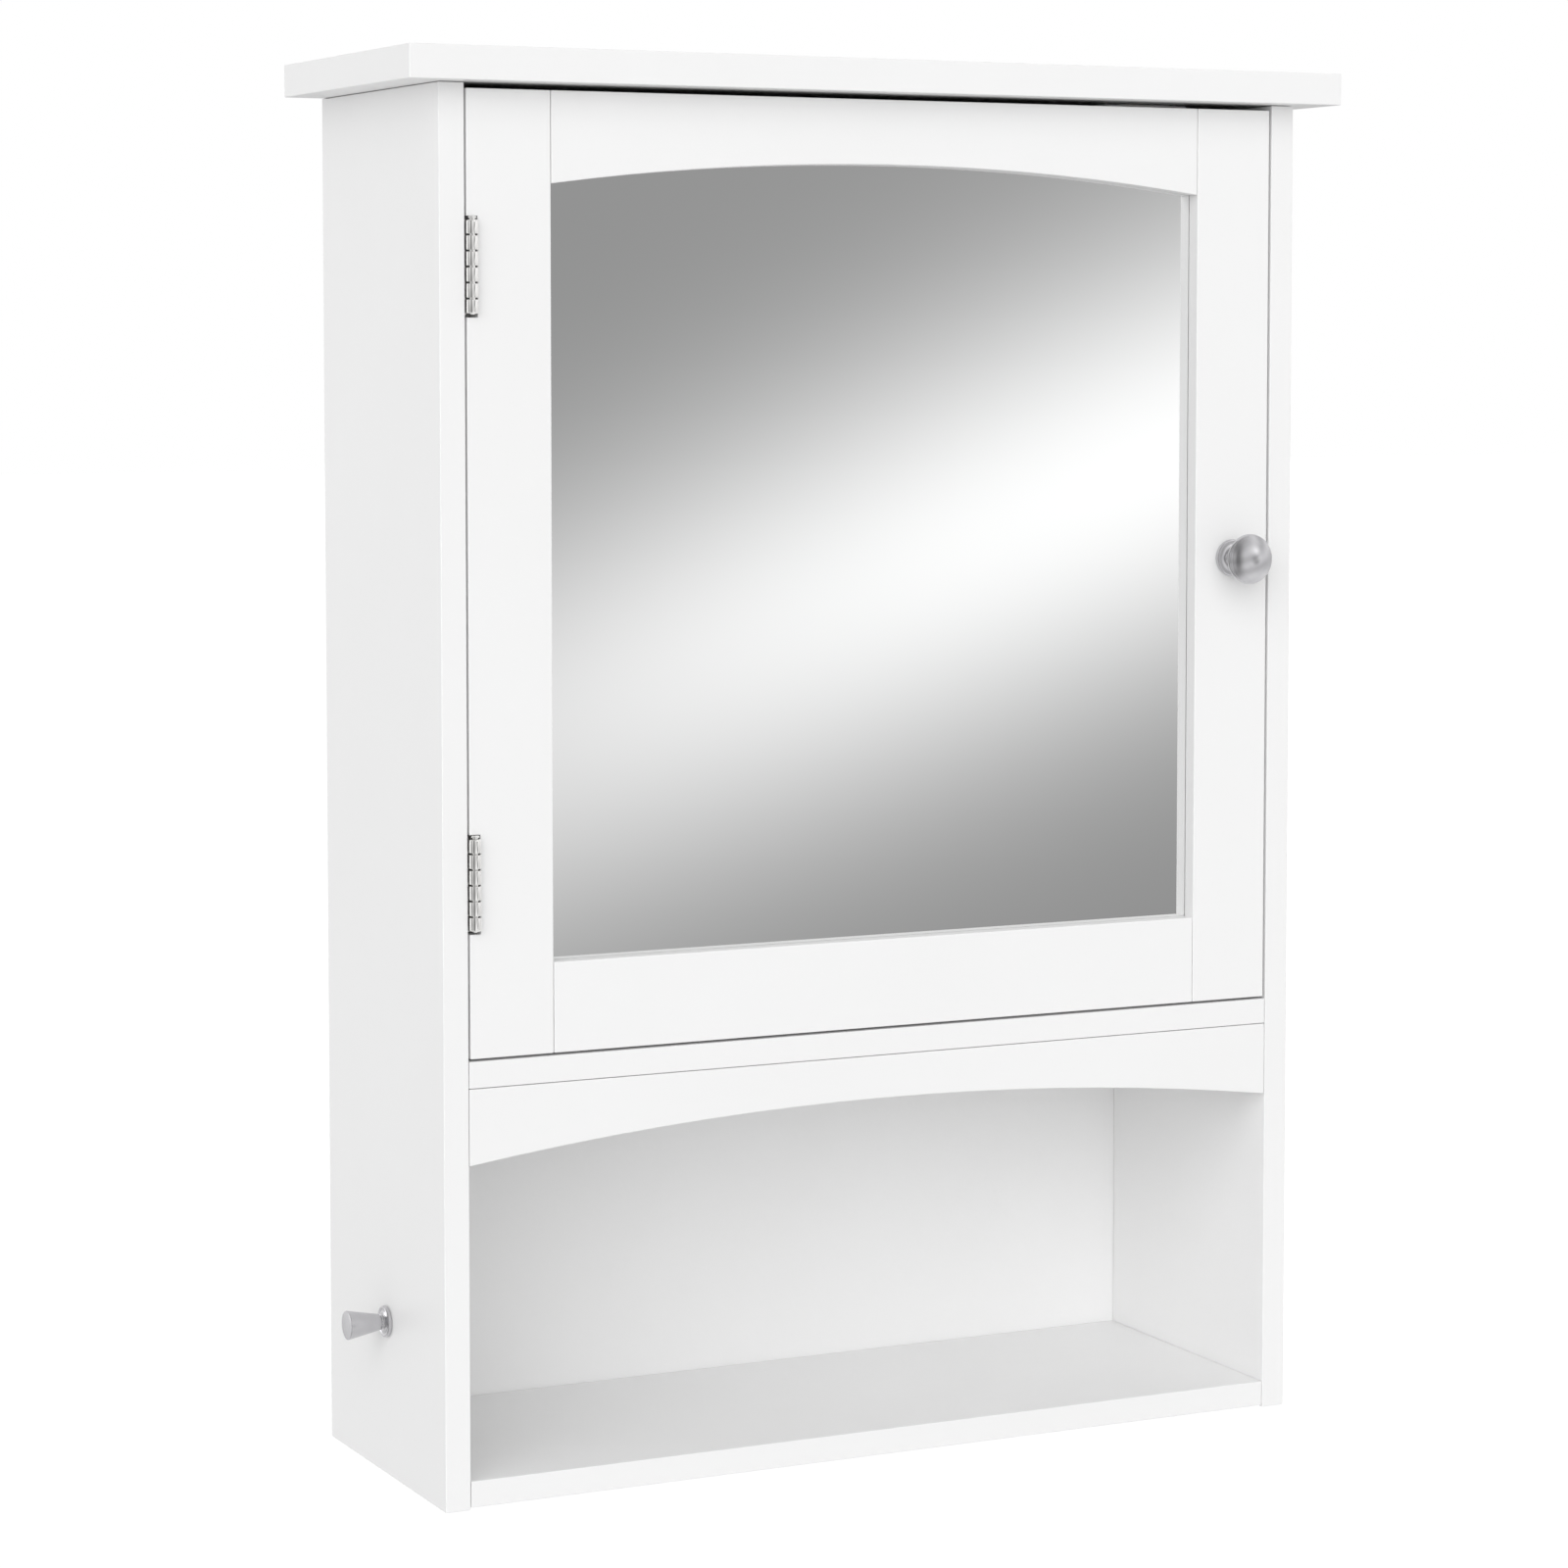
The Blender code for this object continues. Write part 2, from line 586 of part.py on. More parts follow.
def build_peg(panel):
    at = (-CARCASS_WIDTH / 2 - FIT, FRONT + PEG_FROM_FRONT, SIDE_BOTTOM + PEG_FROM_BOTTOM)
    profile = [(0.0, PEG_LENGTH),
               *arc((PEG_END_RADIUS - PEG_EDGE, PEG_LENGTH - PEG_EDGE), PEG_EDGE, 90, 0, 2),
               *arc((PEG_NECK_RADIUS + PEG_COVE, PEG_FLANGE_HEIGHT + PEG_COVE), PEG_COVE, 180, 270),
               *arc((PEG_FLANGE_RADIUS - PEG_EDGE, PEG_FLANGE_HEIGHT - PEG_EDGE), PEG_EDGE, 90, 0, 2),
               (PEG_FLANGE_RADIUS, 0.0), (0.0, 0.0)]
    peg = turned("towel_peg", profile, at, (-1, 0, 0), NICKEL, FINE_STEPS)
    mesh = screw_mesh("towel_peg_screw", PEG_SCREW, countersunk=True)
    inner = (-INNER, at[1], at[2])
    drive_screw("towel_peg_screw", mesh, PEG_SCREW, inner, (1, 0, 0), ZINC, (panel,))
    bore_depth = PEG_THREAD_REACH + PEG_BORE_END_CLEARANCE
    cut(peg, rod("peg_bore", PEG_SCREW[2] + FIT, -FIT, bore_depth, at, (-1, 0, 0)))


# ---------------------------------------------------------------- door

def build_door_frame():
    middle_y = (FRONT + DOOR_BACK) / 2
    stile_edges = {"left": (DOOR_LEFT, OPENING_LEFT), "right": (OPENING_RIGHT, DOOR_RIGHT)}
    stiles = {}
    for side, (low, high) in stile_edges.items():
        stiles[side] = block(f"door_stile_{side}", (low, FRONT, DOOR_BOTTOM), (high, DOOR_BACK, DOOR_TOP),
                             PAINT, ARRIS)
    left, right = OPENING_LEFT + FIT, OPENING_RIGHT - FIT
    lower = block("door_bottom_rail", (left, FRONT, DOOR_BOTTOM), (right, DOOR_BACK, OPENING_BOTTOM),
                  PAINT, ARRIS)
    points = [(left, DOOR_TOP), *arch(left, right, ARCH_SPRING, TOP_RAIL_RISE), (right, DOOR_TOP)]
    upper = outline_board("door_top_rail", points, FRONT, DOOR_BACK, PAINT)

    rebate = block("mirror_rebate", (OPENING_LEFT - REBATE, REBATE_FLOOR, OPENING_BOTTOM - REBATE),
                   (OPENING_RIGHT + REBATE, DOOR_BACK + REBATE, REBATE_TOP))
    for member in (*stiles.values(), lower, upper):
        cut(member, rebate)

    tenons = ((lower, DOOR_BOTTOM + TENON_SHOULDER, OPENING_BOTTOM - REBATE - TENON_REBATE_MARGIN),
              (upper, REBATE_TOP + TENON_REBATE_MARGIN, DOOR_TOP - TENON_SHOULDER))
    for rail, low_z, high_z in tenons:
        for side, sign in SIDES.items():
            shoulder = {"left": OPENING_LEFT, "right": OPENING_RIGHT}[side]
            root = shoulder - sign * TONGUE_ROOT
            tip = shoulder + sign * TENON_LENGTH
            tongue(rail, stiles[side],
                   (min(root, tip), middle_y - TENON_THICKNESS / 2, low_z),
                   (max(root, tip), middle_y + TENON_THICKNESS / 2, high_z))
    return stiles, upper


def build_mirror():
    spans = (("mirror_glass", MIRROR_FACE, MIRROR_THICKNESS, MIRROR, FIT),
             ("mirror_backing", BACKING_FACE, BACKING_THICKNESS, HARDBOARD, 0.0))
    for name, face, thickness, material, arris in spans:
        block(name,
              (OPENING_LEFT - REBATE + GLASS_CLEARANCE, face, OPENING_BOTTOM - REBATE + FIT),
              (OPENING_RIGHT + REBATE - GLASS_CLEARANCE, face + thickness, REBATE_TOP - GLASS_CLEARANCE),
              material, arris)


def build_mirror_clips(stiles):
    mesh = screw_mesh("mirror_clip_screw", CLIP_SCREW, countersunk=True)
    seat = DOOR_BACK + FIT
    outer = seat + CLIP_THICKNESS
    for side, sign in SIDES.items():
        wall = {"left": OPENING_LEFT - REBATE, "right": OPENING_RIGHT + REBATE}[side]
        inward = -sign
        over_stile = wall - inward * (CLIP_LENGTH - CLIP_REACH)
        over_board = wall + inward * CLIP_REACH
        for level, z in CLIP_CENTRES.items():
            low_z, high_z = z - CLIP_WIDTH / 2, z + CLIP_WIDTH / 2
            clip = block(f"mirror_clip_{side}_{level}", (min(over_stile, over_board), seat, low_z),
                         (max(over_stile, over_board), outer, high_z), PLASTIC, FIT)
            near, far = wall + inward * GLASS_CLEARANCE, over_board - inward * CLIP_FOOT_INSET
            join(clip, block(f"clip_foot_{side}_{level}",
                             (min(near, far), BACKING_REAR + FIT, low_z + CLIP_FOOT_INSET),
                             (max(near, far), seat + CLIP_THICKNESS / 2, high_z - CLIP_FOOT_INSET)))
            at = (over_stile + inward * CLIP_SCREW_INSET, outer, z)
            drive_screw(f"mirror_clip_screw_{side}_{level}", mesh, CLIP_SCREW, at, (0, 1, 0), ZINC,
                        (clip, stiles[side]))


def build_knob(stile):
    at = Vector(((OPENING_RIGHT + DOOR_RIGHT) / 2, FRONT - FIT, (DOOR_TOP + DOOR_BOTTOM) / 2))
    dome_start = math.radians(38)
    dome_edge = (KNOB_RADIUS - KNOB_RIM_RADIUS + KNOB_RIM_RADIUS * math.cos(dome_start),
                 KNOB_RIM_HEIGHT + KNOB_RIM_RADIUS * math.sin(dome_start))
    crown = KNOB_PROJECTION - dome_edge[1]
    dome = (dome_edge[0] ** 2 + crown ** 2) / (2 * crown)
    dome_reach = math.degrees(math.asin(dome_edge[0] / dome))
    foot = KNOB_BASE_HEIGHT - KNOB_EDGE
    profile = [*arc((0.0, KNOB_PROJECTION - dome), dome, 90, 90 - dome_reach, 5),
               *arc((KNOB_RADIUS - KNOB_RIM_RADIUS, KNOB_RIM_HEIGHT), KNOB_RIM_RADIUS, 30, -95, 4),
               *arc((KNOB_NECK_RADIUS + KNOB_FLARE, KNOB_NECK_END), KNOB_FLARE, 110, 180, 4),
               *arc((KNOB_NECK_RADIUS + KNOB_COVE, KNOB_BASE_HEIGHT + KNOB_COVE), KNOB_COVE, 180, 270),
               *arc((KNOB_BASE_RADIUS - KNOB_EDGE, foot), KNOB_EDGE, 90, 0, 2),
               (KNOB_BASE_RADIUS, 0.0), (0.0, 0.0)]
    knob = turned("door_knob", profile, at, (0, -1, 0), NICKEL, FINE_STEPS)
    bore_depth = KNOB_THREAD_REACH + KNOB_BORE_END_CLEARANCE
    cut(knob, rod("knob_bore", KNOB_SCREW[2] + FIT, -FIT, bore_depth, at, (0, -1, 0)))
    mesh = screw_mesh("door_knob_screw", KNOB_SCREW, countersunk=False)
    behind = (at[0], DOOR_BACK + FIT, at[2])
    drive_screw("door_knob_screw", mesh, KNOB_SCREW, behind, (0, 1, 0), ZINC, (stile,), countersunk=False)


# ---------------------------------------------------------------- hinges

def build_leaf(name, centre, side_of_axis, first_knuckle):
    """A leaf with every second knuckle; side_of_axis is -1 for the cabinet and 1 for the door."""
    outer = HINGE_X + side_of_axis * (BARREL_RADIUS - LEAF_INSET)
    inner = outer - side_of_axis * LEAF_THICKNESS
    low_x, high_x = min(outer, inner), max(outer, inner)
    leaf_start = HINGE_Y + BARREL_RADIUS + FIT
    top = centre + HINGE_LENGTH / 2
    leaf = block(name, (low_x, leaf_start, centre - HINGE_LENGTH / 2),
                 (high_x, HINGE_Y + LEAF_REACH, top), CHROME)
    hard_cases.add(name)
    pitch = HINGE_LENGTH / KNUCKLES
    for index in range(first_knuckle, KNUCKLES, 2):
        high = top - index * pitch - KNUCKLE_GAP / 2
        low = high - pitch + KNUCKLE_GAP
        knuckle = rod(f"{name}_knuckle_{index}", BARREL_RADIUS, low, high,
                      (HINGE_X, HINGE_Y, 0.0), (0, 0, 1), steps=BARREL_STEPS)
        root = block(f"{name}_root_{index}", (low_x + LEAF_INSET, HINGE_Y, low + LEAF_INSET),
                     (high_x - LEAF_INSET, leaf_start + FIT, high - LEAF_INSET))
        join(leaf, knuckle)
        join(leaf, root)
    bore = HINGE_PIN_RADIUS + TURNING_FIT
    cut(leaf, rod(f"{name}_bore", bore, centre - HINGE_LENGTH, centre + HINGE_LENGTH,
                  (HINGE_X, HINGE_Y, 0.0), (0, 0, 1), steps=BARREL_STEPS))
    return leaf


def build_hinges(panel, stile):
    mesh = screw_mesh("hinge_screw", HINGE_SCREW, countersunk=True)
    leaf_middle = HINGE_Y + (BARREL_RADIUS + LEAF_REACH) / 2
    leaves = {"cabinet": (-1, 1, panel), "door": (1, 0, stile)}
    half = HINGE_LENGTH / 2
    mortise_end = half + MORTISE_END_CLEARANCE
    head_low = half + FIT
    head_top = head_low + PIN_HEAD_HEIGHT
    pin_profile = [(0.0, head_top), (PIN_HEAD_RADIUS, head_top), (PIN_HEAD_RADIUS, head_low),
                   (HINGE_PIN_RADIUS, head_low), (HINGE_PIN_RADIUS, -half), (0.0, -half)]
    for level, centre in HINGE_CENTRES.items():
        cut(stile, block(f"hinge_mortise_{level}",
                         (DOOR_LEFT - FIT, FRONT - FIT, centre - mortise_end),
                         (HINGE_X + BARREL_RADIUS + FIT, HINGE_Y + LEAF_REACH + FIT, centre + mortise_end)))
        turned(f"hinge_pin_{level}", pin_profile, (HINGE_X, HINGE_Y, centre), (0, 0, 1), CHROME)
        for holder, (sign, first, wood) in leaves.items():
            leaf = build_leaf(f"hinge_{holder}_leaf_{level}", centre, sign, first)
            face = HINGE_X + sign * (BARREL_RADIUS - LEAF_INSET - LEAF_THICKNESS)
            for end, up in (("top", 1), ("bottom", -1)):
                at = (face, leaf_middle, centre + up * HINGE_SCREW_SPACING / 2)
                drive_screw(f"hinge_{holder}_screw_{level}_{end}", mesh, HINGE_SCREW, at, (-sign, 0, 0),
                            CHROME, (leaf, wood))


# ---------------------------------------------------------------- catch

def build_catch(top, top_rail):
    x = INNER - CATCH_FROM_SIDE
    seat = TOP_UNDERSIDE - FIT
    strike_back = DOOR_BACK + FIT + STRIKE_THICKNESS
    magnet_front = strike_back + CATCH_GAP
    front = magnet_front + MAGNET_PROUD
    housing = block("catch_housing", (x - CATCH_BODY_LENGTH / 2, front, seat - CATCH_HEIGHT),
                    (x + CATCH_BODY_LENGTH / 2, front + CATCH_DEPTH, seat), PLASTIC, ARRIS)
    join(housing, block("catch_ears", (x - CATCH_LENGTH / 2, front + FIT, seat - CATCH_EAR_THICKNESS),
                        (x + CATCH_LENGTH / 2, front + CATCH_DEPTH - FIT, seat - FIT)))
    magnet_z = seat - CATCH_HEIGHT / 2 - FIT
    low = Vector((x - MAGNET_LENGTH / 2, magnet_front, magnet_z - MAGNET_HEIGHT / 2))
    high = Vector((x + MAGNET_LENGTH / 2, magnet_front + MAGNET_DEPTH, magnet_z + MAGNET_HEIGHT / 2))
    block("catch_magnet", low, high, MAGNET_STEEL, FIT)
    cut(housing, block("magnet_pocket", low - SLACK, high + SLACK))

    mesh = screw_mesh("catch_screw", CATCH_SCREW, countersunk=True)
    for side, sign in SIDES.items():
        at = (x + sign * CATCH_SCREW_SPACING / 2, front + CATCH_DEPTH / 2, seat - CATCH_EAR_THICKNESS)
        drive_screw(f"catch_screw_{side}", mesh, CATCH_SCREW, at, (0, 0, -1), ZINC, (housing, top))

    strike = block("strike_plate", (x - STRIKE_LENGTH / 2, DOOR_BACK + FIT, magnet_z - STRIKE_HEIGHT / 2),
                   (x + STRIKE_LENGTH / 2, strike_back, magnet_z + STRIKE_HEIGHT / 2), ZINC, FIT)
    at = (x, DOOR_BACK, magnet_z)
    join(strike, rod("strike_spike", SPIKE_RADIUS, -SPIKE_LENGTH, STRIKE_THICKNESS / 2, at, (0, 1, 0)))
    cut(top_rail, rod("spike_hole", SPIKE_RADIUS + FIT, -SPIKE_LENGTH - FIT, FIT, at, (0, 1, 0)))


def hang_door_on_axis():
    """Parent every door piece to an empty on the hinge axis."""
    axis = bpy.data.objects.new("door_hinge_axis", None)
    axis.location = (HINGE_X, HINGE_Y, 0.0)
    cabinet.objects.link(axis)
    prefixes = ("door_", "mirror_", "hinge_door_", "strike_plate")
    for obj in cabinet.objects:
        if obj is not axis and obj.name.startswith(prefixes):
            obj.parent = axis
            obj.matrix_parent_inverse = Matrix.Translation(-Vector(axis.location))


def build_cabinet():
    panels = build_sides()
    top = build_top(panels)
    bottom = build_fixed_board("bottom_panel", BOTTOM_UNDERSIDE, panels)
    middle = build_fixed_board("middle_panel", MIDDLE_UNDERSIDE, panels)
    build_apron()
    rail = build_hanging_rail(panels)
    build_back((("lower", bottom, BOTTOM_UNDERSIDE), ("middle", middle, MIDDLE_UNDERSIDE)))
    build_shelf(panels)
    build_hangers(rail)
    build_peg(panels["left"])
    stiles, top_rail = build_door_frame()
    build_mirror()
    build_mirror_clips(stiles)
    build_knob(stiles["right"])
    build_hinges(panels["left"], stiles["left"])
    build_catch(top, top_rail)
    hang_door_on_axis()


build_cabinet()
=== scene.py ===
"""Looks of the hanging wall cabinet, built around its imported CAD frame.

Metres, +Z up.  The cabinet's front faces -Y, the wall plane is Y = 0, and it hangs clear of
the floor.  Boards keep their CAD solids; turned, rolled, stamped and moulded pieces are made
finer here and stand for their CAD nodes.
"""

import json
import math

import bmesh
import bpy
from mathutils import Matrix, Vector


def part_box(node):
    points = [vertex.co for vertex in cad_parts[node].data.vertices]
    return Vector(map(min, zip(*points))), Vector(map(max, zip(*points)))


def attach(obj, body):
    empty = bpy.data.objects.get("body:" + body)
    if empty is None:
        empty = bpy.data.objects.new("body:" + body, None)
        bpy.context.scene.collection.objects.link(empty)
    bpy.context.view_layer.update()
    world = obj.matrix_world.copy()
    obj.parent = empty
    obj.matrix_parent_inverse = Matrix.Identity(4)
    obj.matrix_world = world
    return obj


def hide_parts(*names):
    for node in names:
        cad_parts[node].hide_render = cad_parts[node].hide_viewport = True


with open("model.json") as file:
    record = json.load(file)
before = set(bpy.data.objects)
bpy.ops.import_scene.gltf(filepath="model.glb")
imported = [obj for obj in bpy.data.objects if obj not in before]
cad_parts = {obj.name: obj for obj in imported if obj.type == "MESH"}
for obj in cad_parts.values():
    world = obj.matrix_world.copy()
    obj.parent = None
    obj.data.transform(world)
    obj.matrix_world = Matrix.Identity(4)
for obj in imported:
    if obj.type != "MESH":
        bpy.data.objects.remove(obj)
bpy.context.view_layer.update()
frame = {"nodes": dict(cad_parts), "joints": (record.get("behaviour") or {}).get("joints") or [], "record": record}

BODY_OF = {node: body for body, nodes in frame["record"]["behaviour"]["bodies"].items() for node in nodes}
SLOT_OF = {part["node"]: part["material_slot"] for part in frame["record"]["subparts"]}
HINGE_AXIS = Vector(frame["joints"][0]["pos_m"])

# Camera: a long lens in front of the cabinet's left side, looking slightly down; angles in degrees
CAMERA_PLACE = (-0.8951, -1.8716, -0.0844)
CAMERA_YAW = 26.06
CAMERA_PITCH = 3.852
CAMERA_LENS = 96.47
CAMERA_SENSOR = 36.0
CAMERA_SHIFT = -0.10

# Room
FLOOR_LEVEL = -1.10
FLOOR_HALF_WIDTH = 30.0
FLOOR_PAINT = 0.45
FLOOR_FILL_SEEN = 0.72          # light the floor adds for the eye, so that it looks white
FLOOR_FILL_BOUNCED = 0.30       # and for the cabinet
AMBIENT = 0.56
KEY_AZIMUTH = -34.0             # degrees from straight in front; negative is to the cabinet's left
KEY_ELEVATION = 17.0
KEY_SPREAD = 75.0
KEY_LEVEL = 0.65                # what it adds to a white surface that faces it

# Room that mirror and metal reflect, angles in degrees from straight in front.  Its walls brighten and
# darken in soft slanted waves; a grey screen with a strip light across it faces the mirror; dark upright
# gaps part the walls; two lamps light up edges of the turned metal.
ROOM_LOW, ROOM_HIGH = 0.66, 0.98
ROOM_WAVE = 40.0                # a smaller number packs the waves closer
ROOM_WAVE_START = 150.0
SCREEN_GREY = 0.28
SCREEN_AZIMUTH, SCREEN_ELEVATION = 27.0, -3.0
SCREEN_INNER, SCREEN_OUTER = 8.5, 17.0
STRIP_AZIMUTH, STRIP_ELEVATION = 31.2, -1.55
STRIP_TILT, STRIP_LENGTH, STRIP_WIDTH, STRIP_GLOW = 24.2, 10.0, 1.95, 0.74
GAPS = ((-41.0, 10.0, 0.88), (-94.0, 12.0, 0.75), (150.0, 9.0, 0.5))    # azimuth, width, depth
LAMPS = ((-122.0, 5.0, 10.0, 3.0), (34.0, 24.0, 8.0, 0.9))              # azimuth, elevation, width, glow

TURNED_STEPS = 96


# ---------------------------------------------------------------- node tools

class Graph:
    """Short calls that add nodes to a tree and feed them values or other nodes' outputs."""

    def __init__(self, tree):
        self.tree = tree

    def feed(self, socket, value):
        if isinstance(value, bpy.types.NodeSocket):
            self.tree.links.new(value, socket)
        else:
            socket.default_value = value

    def node(self, kind, *in_order, settings=None, **inputs):
        made = self.tree.nodes.new(kind)
        for key, value in (settings or {}).items():
            setattr(made, key, value)
        for socket, value in zip(made.inputs, in_order):
            self.feed(socket, value)
        for socket, value in inputs.items():
            self.feed(made.inputs[socket.replace("_", " ")], value)
        return made

    def math(self, operation, first, second=0.0):
        return self.node("ShaderNodeMath", first, second, settings={"operation": operation}).outputs[0]

    def mix(self, share, first, second):
        """First where the share is 0, second where it is 1."""
        made = self.node("ShaderNodeMix", share)
        self.feed(made.inputs[2], first)
        self.feed(made.inputs[3], second)
        return made.outputs[0]


class Recipe(Graph):
    """A node material around one Principled shader."""

    def __init__(self, name, metallic=0.0, roughness=0.4, **fixed):
        self.material = bpy.data.materials.new(name)
        self.material.use_nodes = True
        super().__init__(self.material.node_tree)
        self.shader = self.tree.nodes["Principled BSDF"]
        self.shader.inputs["Metallic"].default_value = metallic
        self.shader.inputs["Roughness"].default_value = roughness
        for socket, value in fixed.items():
            self.shader.inputs[socket.replace("_", " ")].default_value = value
        self.place = self.tree.nodes.new("ShaderNodeTexCoord").outputs["Object"]

    def stretched(self, scale):
        return self.node("ShaderNodeMapping", Vector=self.place, Scale=scale).outputs[0]

    def noise(self, scale, detail=3.0, rough=0.55, vector=None):
        made = self.node("ShaderNodeTexNoise", Vector=vector or self.place, Scale=scale,
                         Detail=detail, Roughness=rough)
        return made.outputs["Fac"]

    def between(self, value, low, high, start=0.3, end=0.7):
        """Spread the middle of a texture's values, from start to end, over a range from low to high."""
        made = self.node("ShaderNodeMapRange", Value=value)
        for socket, setting in zip(("From Min", "From Max", "To Min", "To Max"), (start, end, low, high)):
            made.inputs[socket].default_value = setting
        return made.outputs[0]

    def blend(self, share, first, second):
        made = self.node("ShaderNodeMix", share, settings={"data_type": "RGBA"})
        self.feed(made.inputs[6], first)
        self.feed(made.inputs[7], second)
        return made.outputs[2]

    def bump(self, height, distance, strength=1.0, under=None):
        made = self.node("ShaderNodeBump", Height=height, Distance=distance, Strength=strength)
        if under:
            self.feed(made.inputs["Normal"], under)
        return made.outputs[0]

    def finish(self, colour=None, roughness=None, normal=None):
        for socket, value in (("Base Color", colour), ("Roughness", roughness), ("Normal", normal)):
            if value is not None:
                self.feed(self.shader.inputs[socket], value)
        return self.material


def grey(value, warmth=0.0):
    """Grey, or with warmth a share more red and as much less blue."""
    return (value * (1 + warmth), value, value * (1 - warmth), 1.0)


# ---------------------------------------------------------------- materials

def white_paint(name="satin_white_paint", peel=0.00002, light=0.925):
    """Sprayed satin paint: a faint orange peel, and a sheen that drifts from place to place."""
    recipe = Recipe(name)
    drift = recipe.noise(9.0)
    colour = recipe.blend(recipe.between(drift, 0.0, 1.0), grey(light - 0.008, 0.001), grey(light + 0.004))
    sheen = recipe.between(recipe.noise(60.0, 4.0), 0.33, 0.42)
    broad = recipe.bump(recipe.noise(160.0, 2.0), peel * 2)
    fine = recipe.bump(recipe.noise(850.0, 2.0), peel, under=broad)
    return recipe.finish(colour, sheen, fine)


def silvered_mirror():
    recipe = Recipe("silvered_mirror", metallic=1.0, roughness=0.0)
    drift = recipe.noise(5.0, 1.0)
    colour = recipe.blend(recipe.between(drift, 0.0, 1.0), (0.985, 0.99, 0.988, 1.0), grey(0.995))
    sheen = recipe.between(recipe.noise(30.0, 2.0), 0.0, 0.012)
    return recipe.finish(colour, sheen, recipe.bump(recipe.noise(4.0, 1.0), 0.00002, 0.3))


def mirror_back():
    """Grey protective lacquer on the rear of the silvering."""
    recipe = Recipe("mirror_back_lacquer")
    colour = recipe.blend(recipe.between(recipe.noise(200.0), 0.0, 1.0), grey(0.22), grey(0.27))
    return recipe.finish(colour, recipe.between(recipe.noise(80.0), 0.4, 0.55),
                         recipe.bump(recipe.noise(900.0), 0.00002))


def glass_edge():
    """The ground green edge of float glass."""
    recipe = Recipe("ground_glass_edge")
    colour = recipe.blend(recipe.noise(400.0), (0.35, 0.50, 0.45, 1.0), (0.50, 0.64, 0.58, 1.0))
    return recipe.finish(colour, recipe.between(recipe.noise(600.0), 0.3, 0.5),
                         recipe.bump(recipe.noise(1500.0), 0.00002))


def hardboard():
    """Pressed brown fibre: fine flecks and short fibres over a mottled ground."""
    recipe = Recipe("hardboard_fibre")
    mottle = recipe.noise(25.0, 5.0, 0.65)
    flecks = recipe.noise(1400.0, 3.0, 0.7)
    fibres = recipe.noise(1.0, 4.0, 0.6, recipe.stretched((260.0, 900.0, 1500.0)))
    ground = recipe.blend(mottle, (0.20, 0.115, 0.062, 1.0), (0.32, 0.195, 0.110, 1.0))
    fleck = recipe.between(recipe.math("MULTIPLY", flecks, fibres), 0.0, 0.8, 0.18, 0.42)
    colour = recipe.blend(fleck, ground, (0.43, 0.29, 0.18, 1.0))
    return recipe.finish(colour, recipe.between(mottle, 0.6, 0.8), recipe.bump(fibres, 0.00006))


def bright_steel():
    """Nickel-plated hinge steel: bright, with faint lengthwise drawing lines."""
    recipe = Recipe("bright_plated_steel", metallic=1.0)
    lines = recipe.noise(1.0, 3.0, 0.6, recipe.stretched((2600.0, 2600.0, 60.0)))
    colour = recipe.blend(recipe.noise(300.0), (0.90, 0.89, 0.875, 1.0), (0.96, 0.955, 0.94, 1.0))
    return recipe.finish(colour, recipe.between(lines, 0.04, 0.08), recipe.bump(lines, 0.000002))


def satin_nickel():
    """Turned and satin plated: fine rings run round the piece's own axis."""
    recipe = Recipe("satin_nickel_plate", metallic=1.0)
    parts = recipe.node("ShaderNodeSeparateXYZ", Vector=recipe.place)
    across = recipe.math("MULTIPLY", parts.outputs[0], parts.outputs[0])
    up = recipe.math("MULTIPLY", parts.outputs[1], parts.outputs[1])
    radius = recipe.math("SQRT", recipe.math("ADD", across, up))
    profile = recipe.node("ShaderNodeCombineXYZ", X=radius, Y=parts.outputs[2])
    rings = recipe.noise(3200.0, 2.0, 0.6, profile.outputs[0])
    grain = recipe.noise(2400.0, 3.0, 0.6)
    colour = recipe.blend(recipe.between(recipe.noise(180.0), 0.0, 1.0),
                          (0.585, 0.580, 0.600, 1.0), (0.630, 0.625, 0.642, 1.0))
    sheen = recipe.between(recipe.math("ADD", rings, grain), 0.22, 0.27, 0.7, 1.3)
    return recipe.finish(colour, sheen, recipe.bump(rings, 0.0000015))


def zinc_plate():
    """Bright zinc: blotches of bluish and yellowish passivation."""
    recipe = Recipe("zinc_passivate", metallic=1.0)
    blotch = recipe.between(recipe.noise(350.0, 3.0), 0.0, 1.0, 0.35, 0.65)
    colour = recipe.blend(blotch, (0.60, 0.61, 0.64, 1.0), (0.68, 0.66, 0.60, 1.0))
    return recipe.finish(colour, recipe.between(recipe.noise(1500.0), 0.25, 0.40),
                         recipe.bump(recipe.noise(2600.0), 0.000006))


def moulded_plastic():
    recipe = Recipe("moulded_white_plastic", Subsurface_Weight=0.08, Subsurface_Scale=0.002)
    colour = recipe.blend(recipe.noise(120.0), grey(0.80, 0.006), grey(0.84, 0.004))
    return recipe.finish(colour, recipe.between(recipe.noise(900.0), 0.38, 0.52),
                         recipe.bump(recipe.noise(2200.0, 2.0), 0.00001))


def ferrite():
    recipe = Recipe("ground_ferrite", metallic=0.6)
    grains = recipe.noise(3000.0, 3.0, 0.7)
    colour = recipe.blend(grains, grey(0.05, 0.01), grey(0.13))
    return recipe.finish(colour, recipe.between(grains, 0.35, 0.6), recipe.bump(grains, 0.00001))


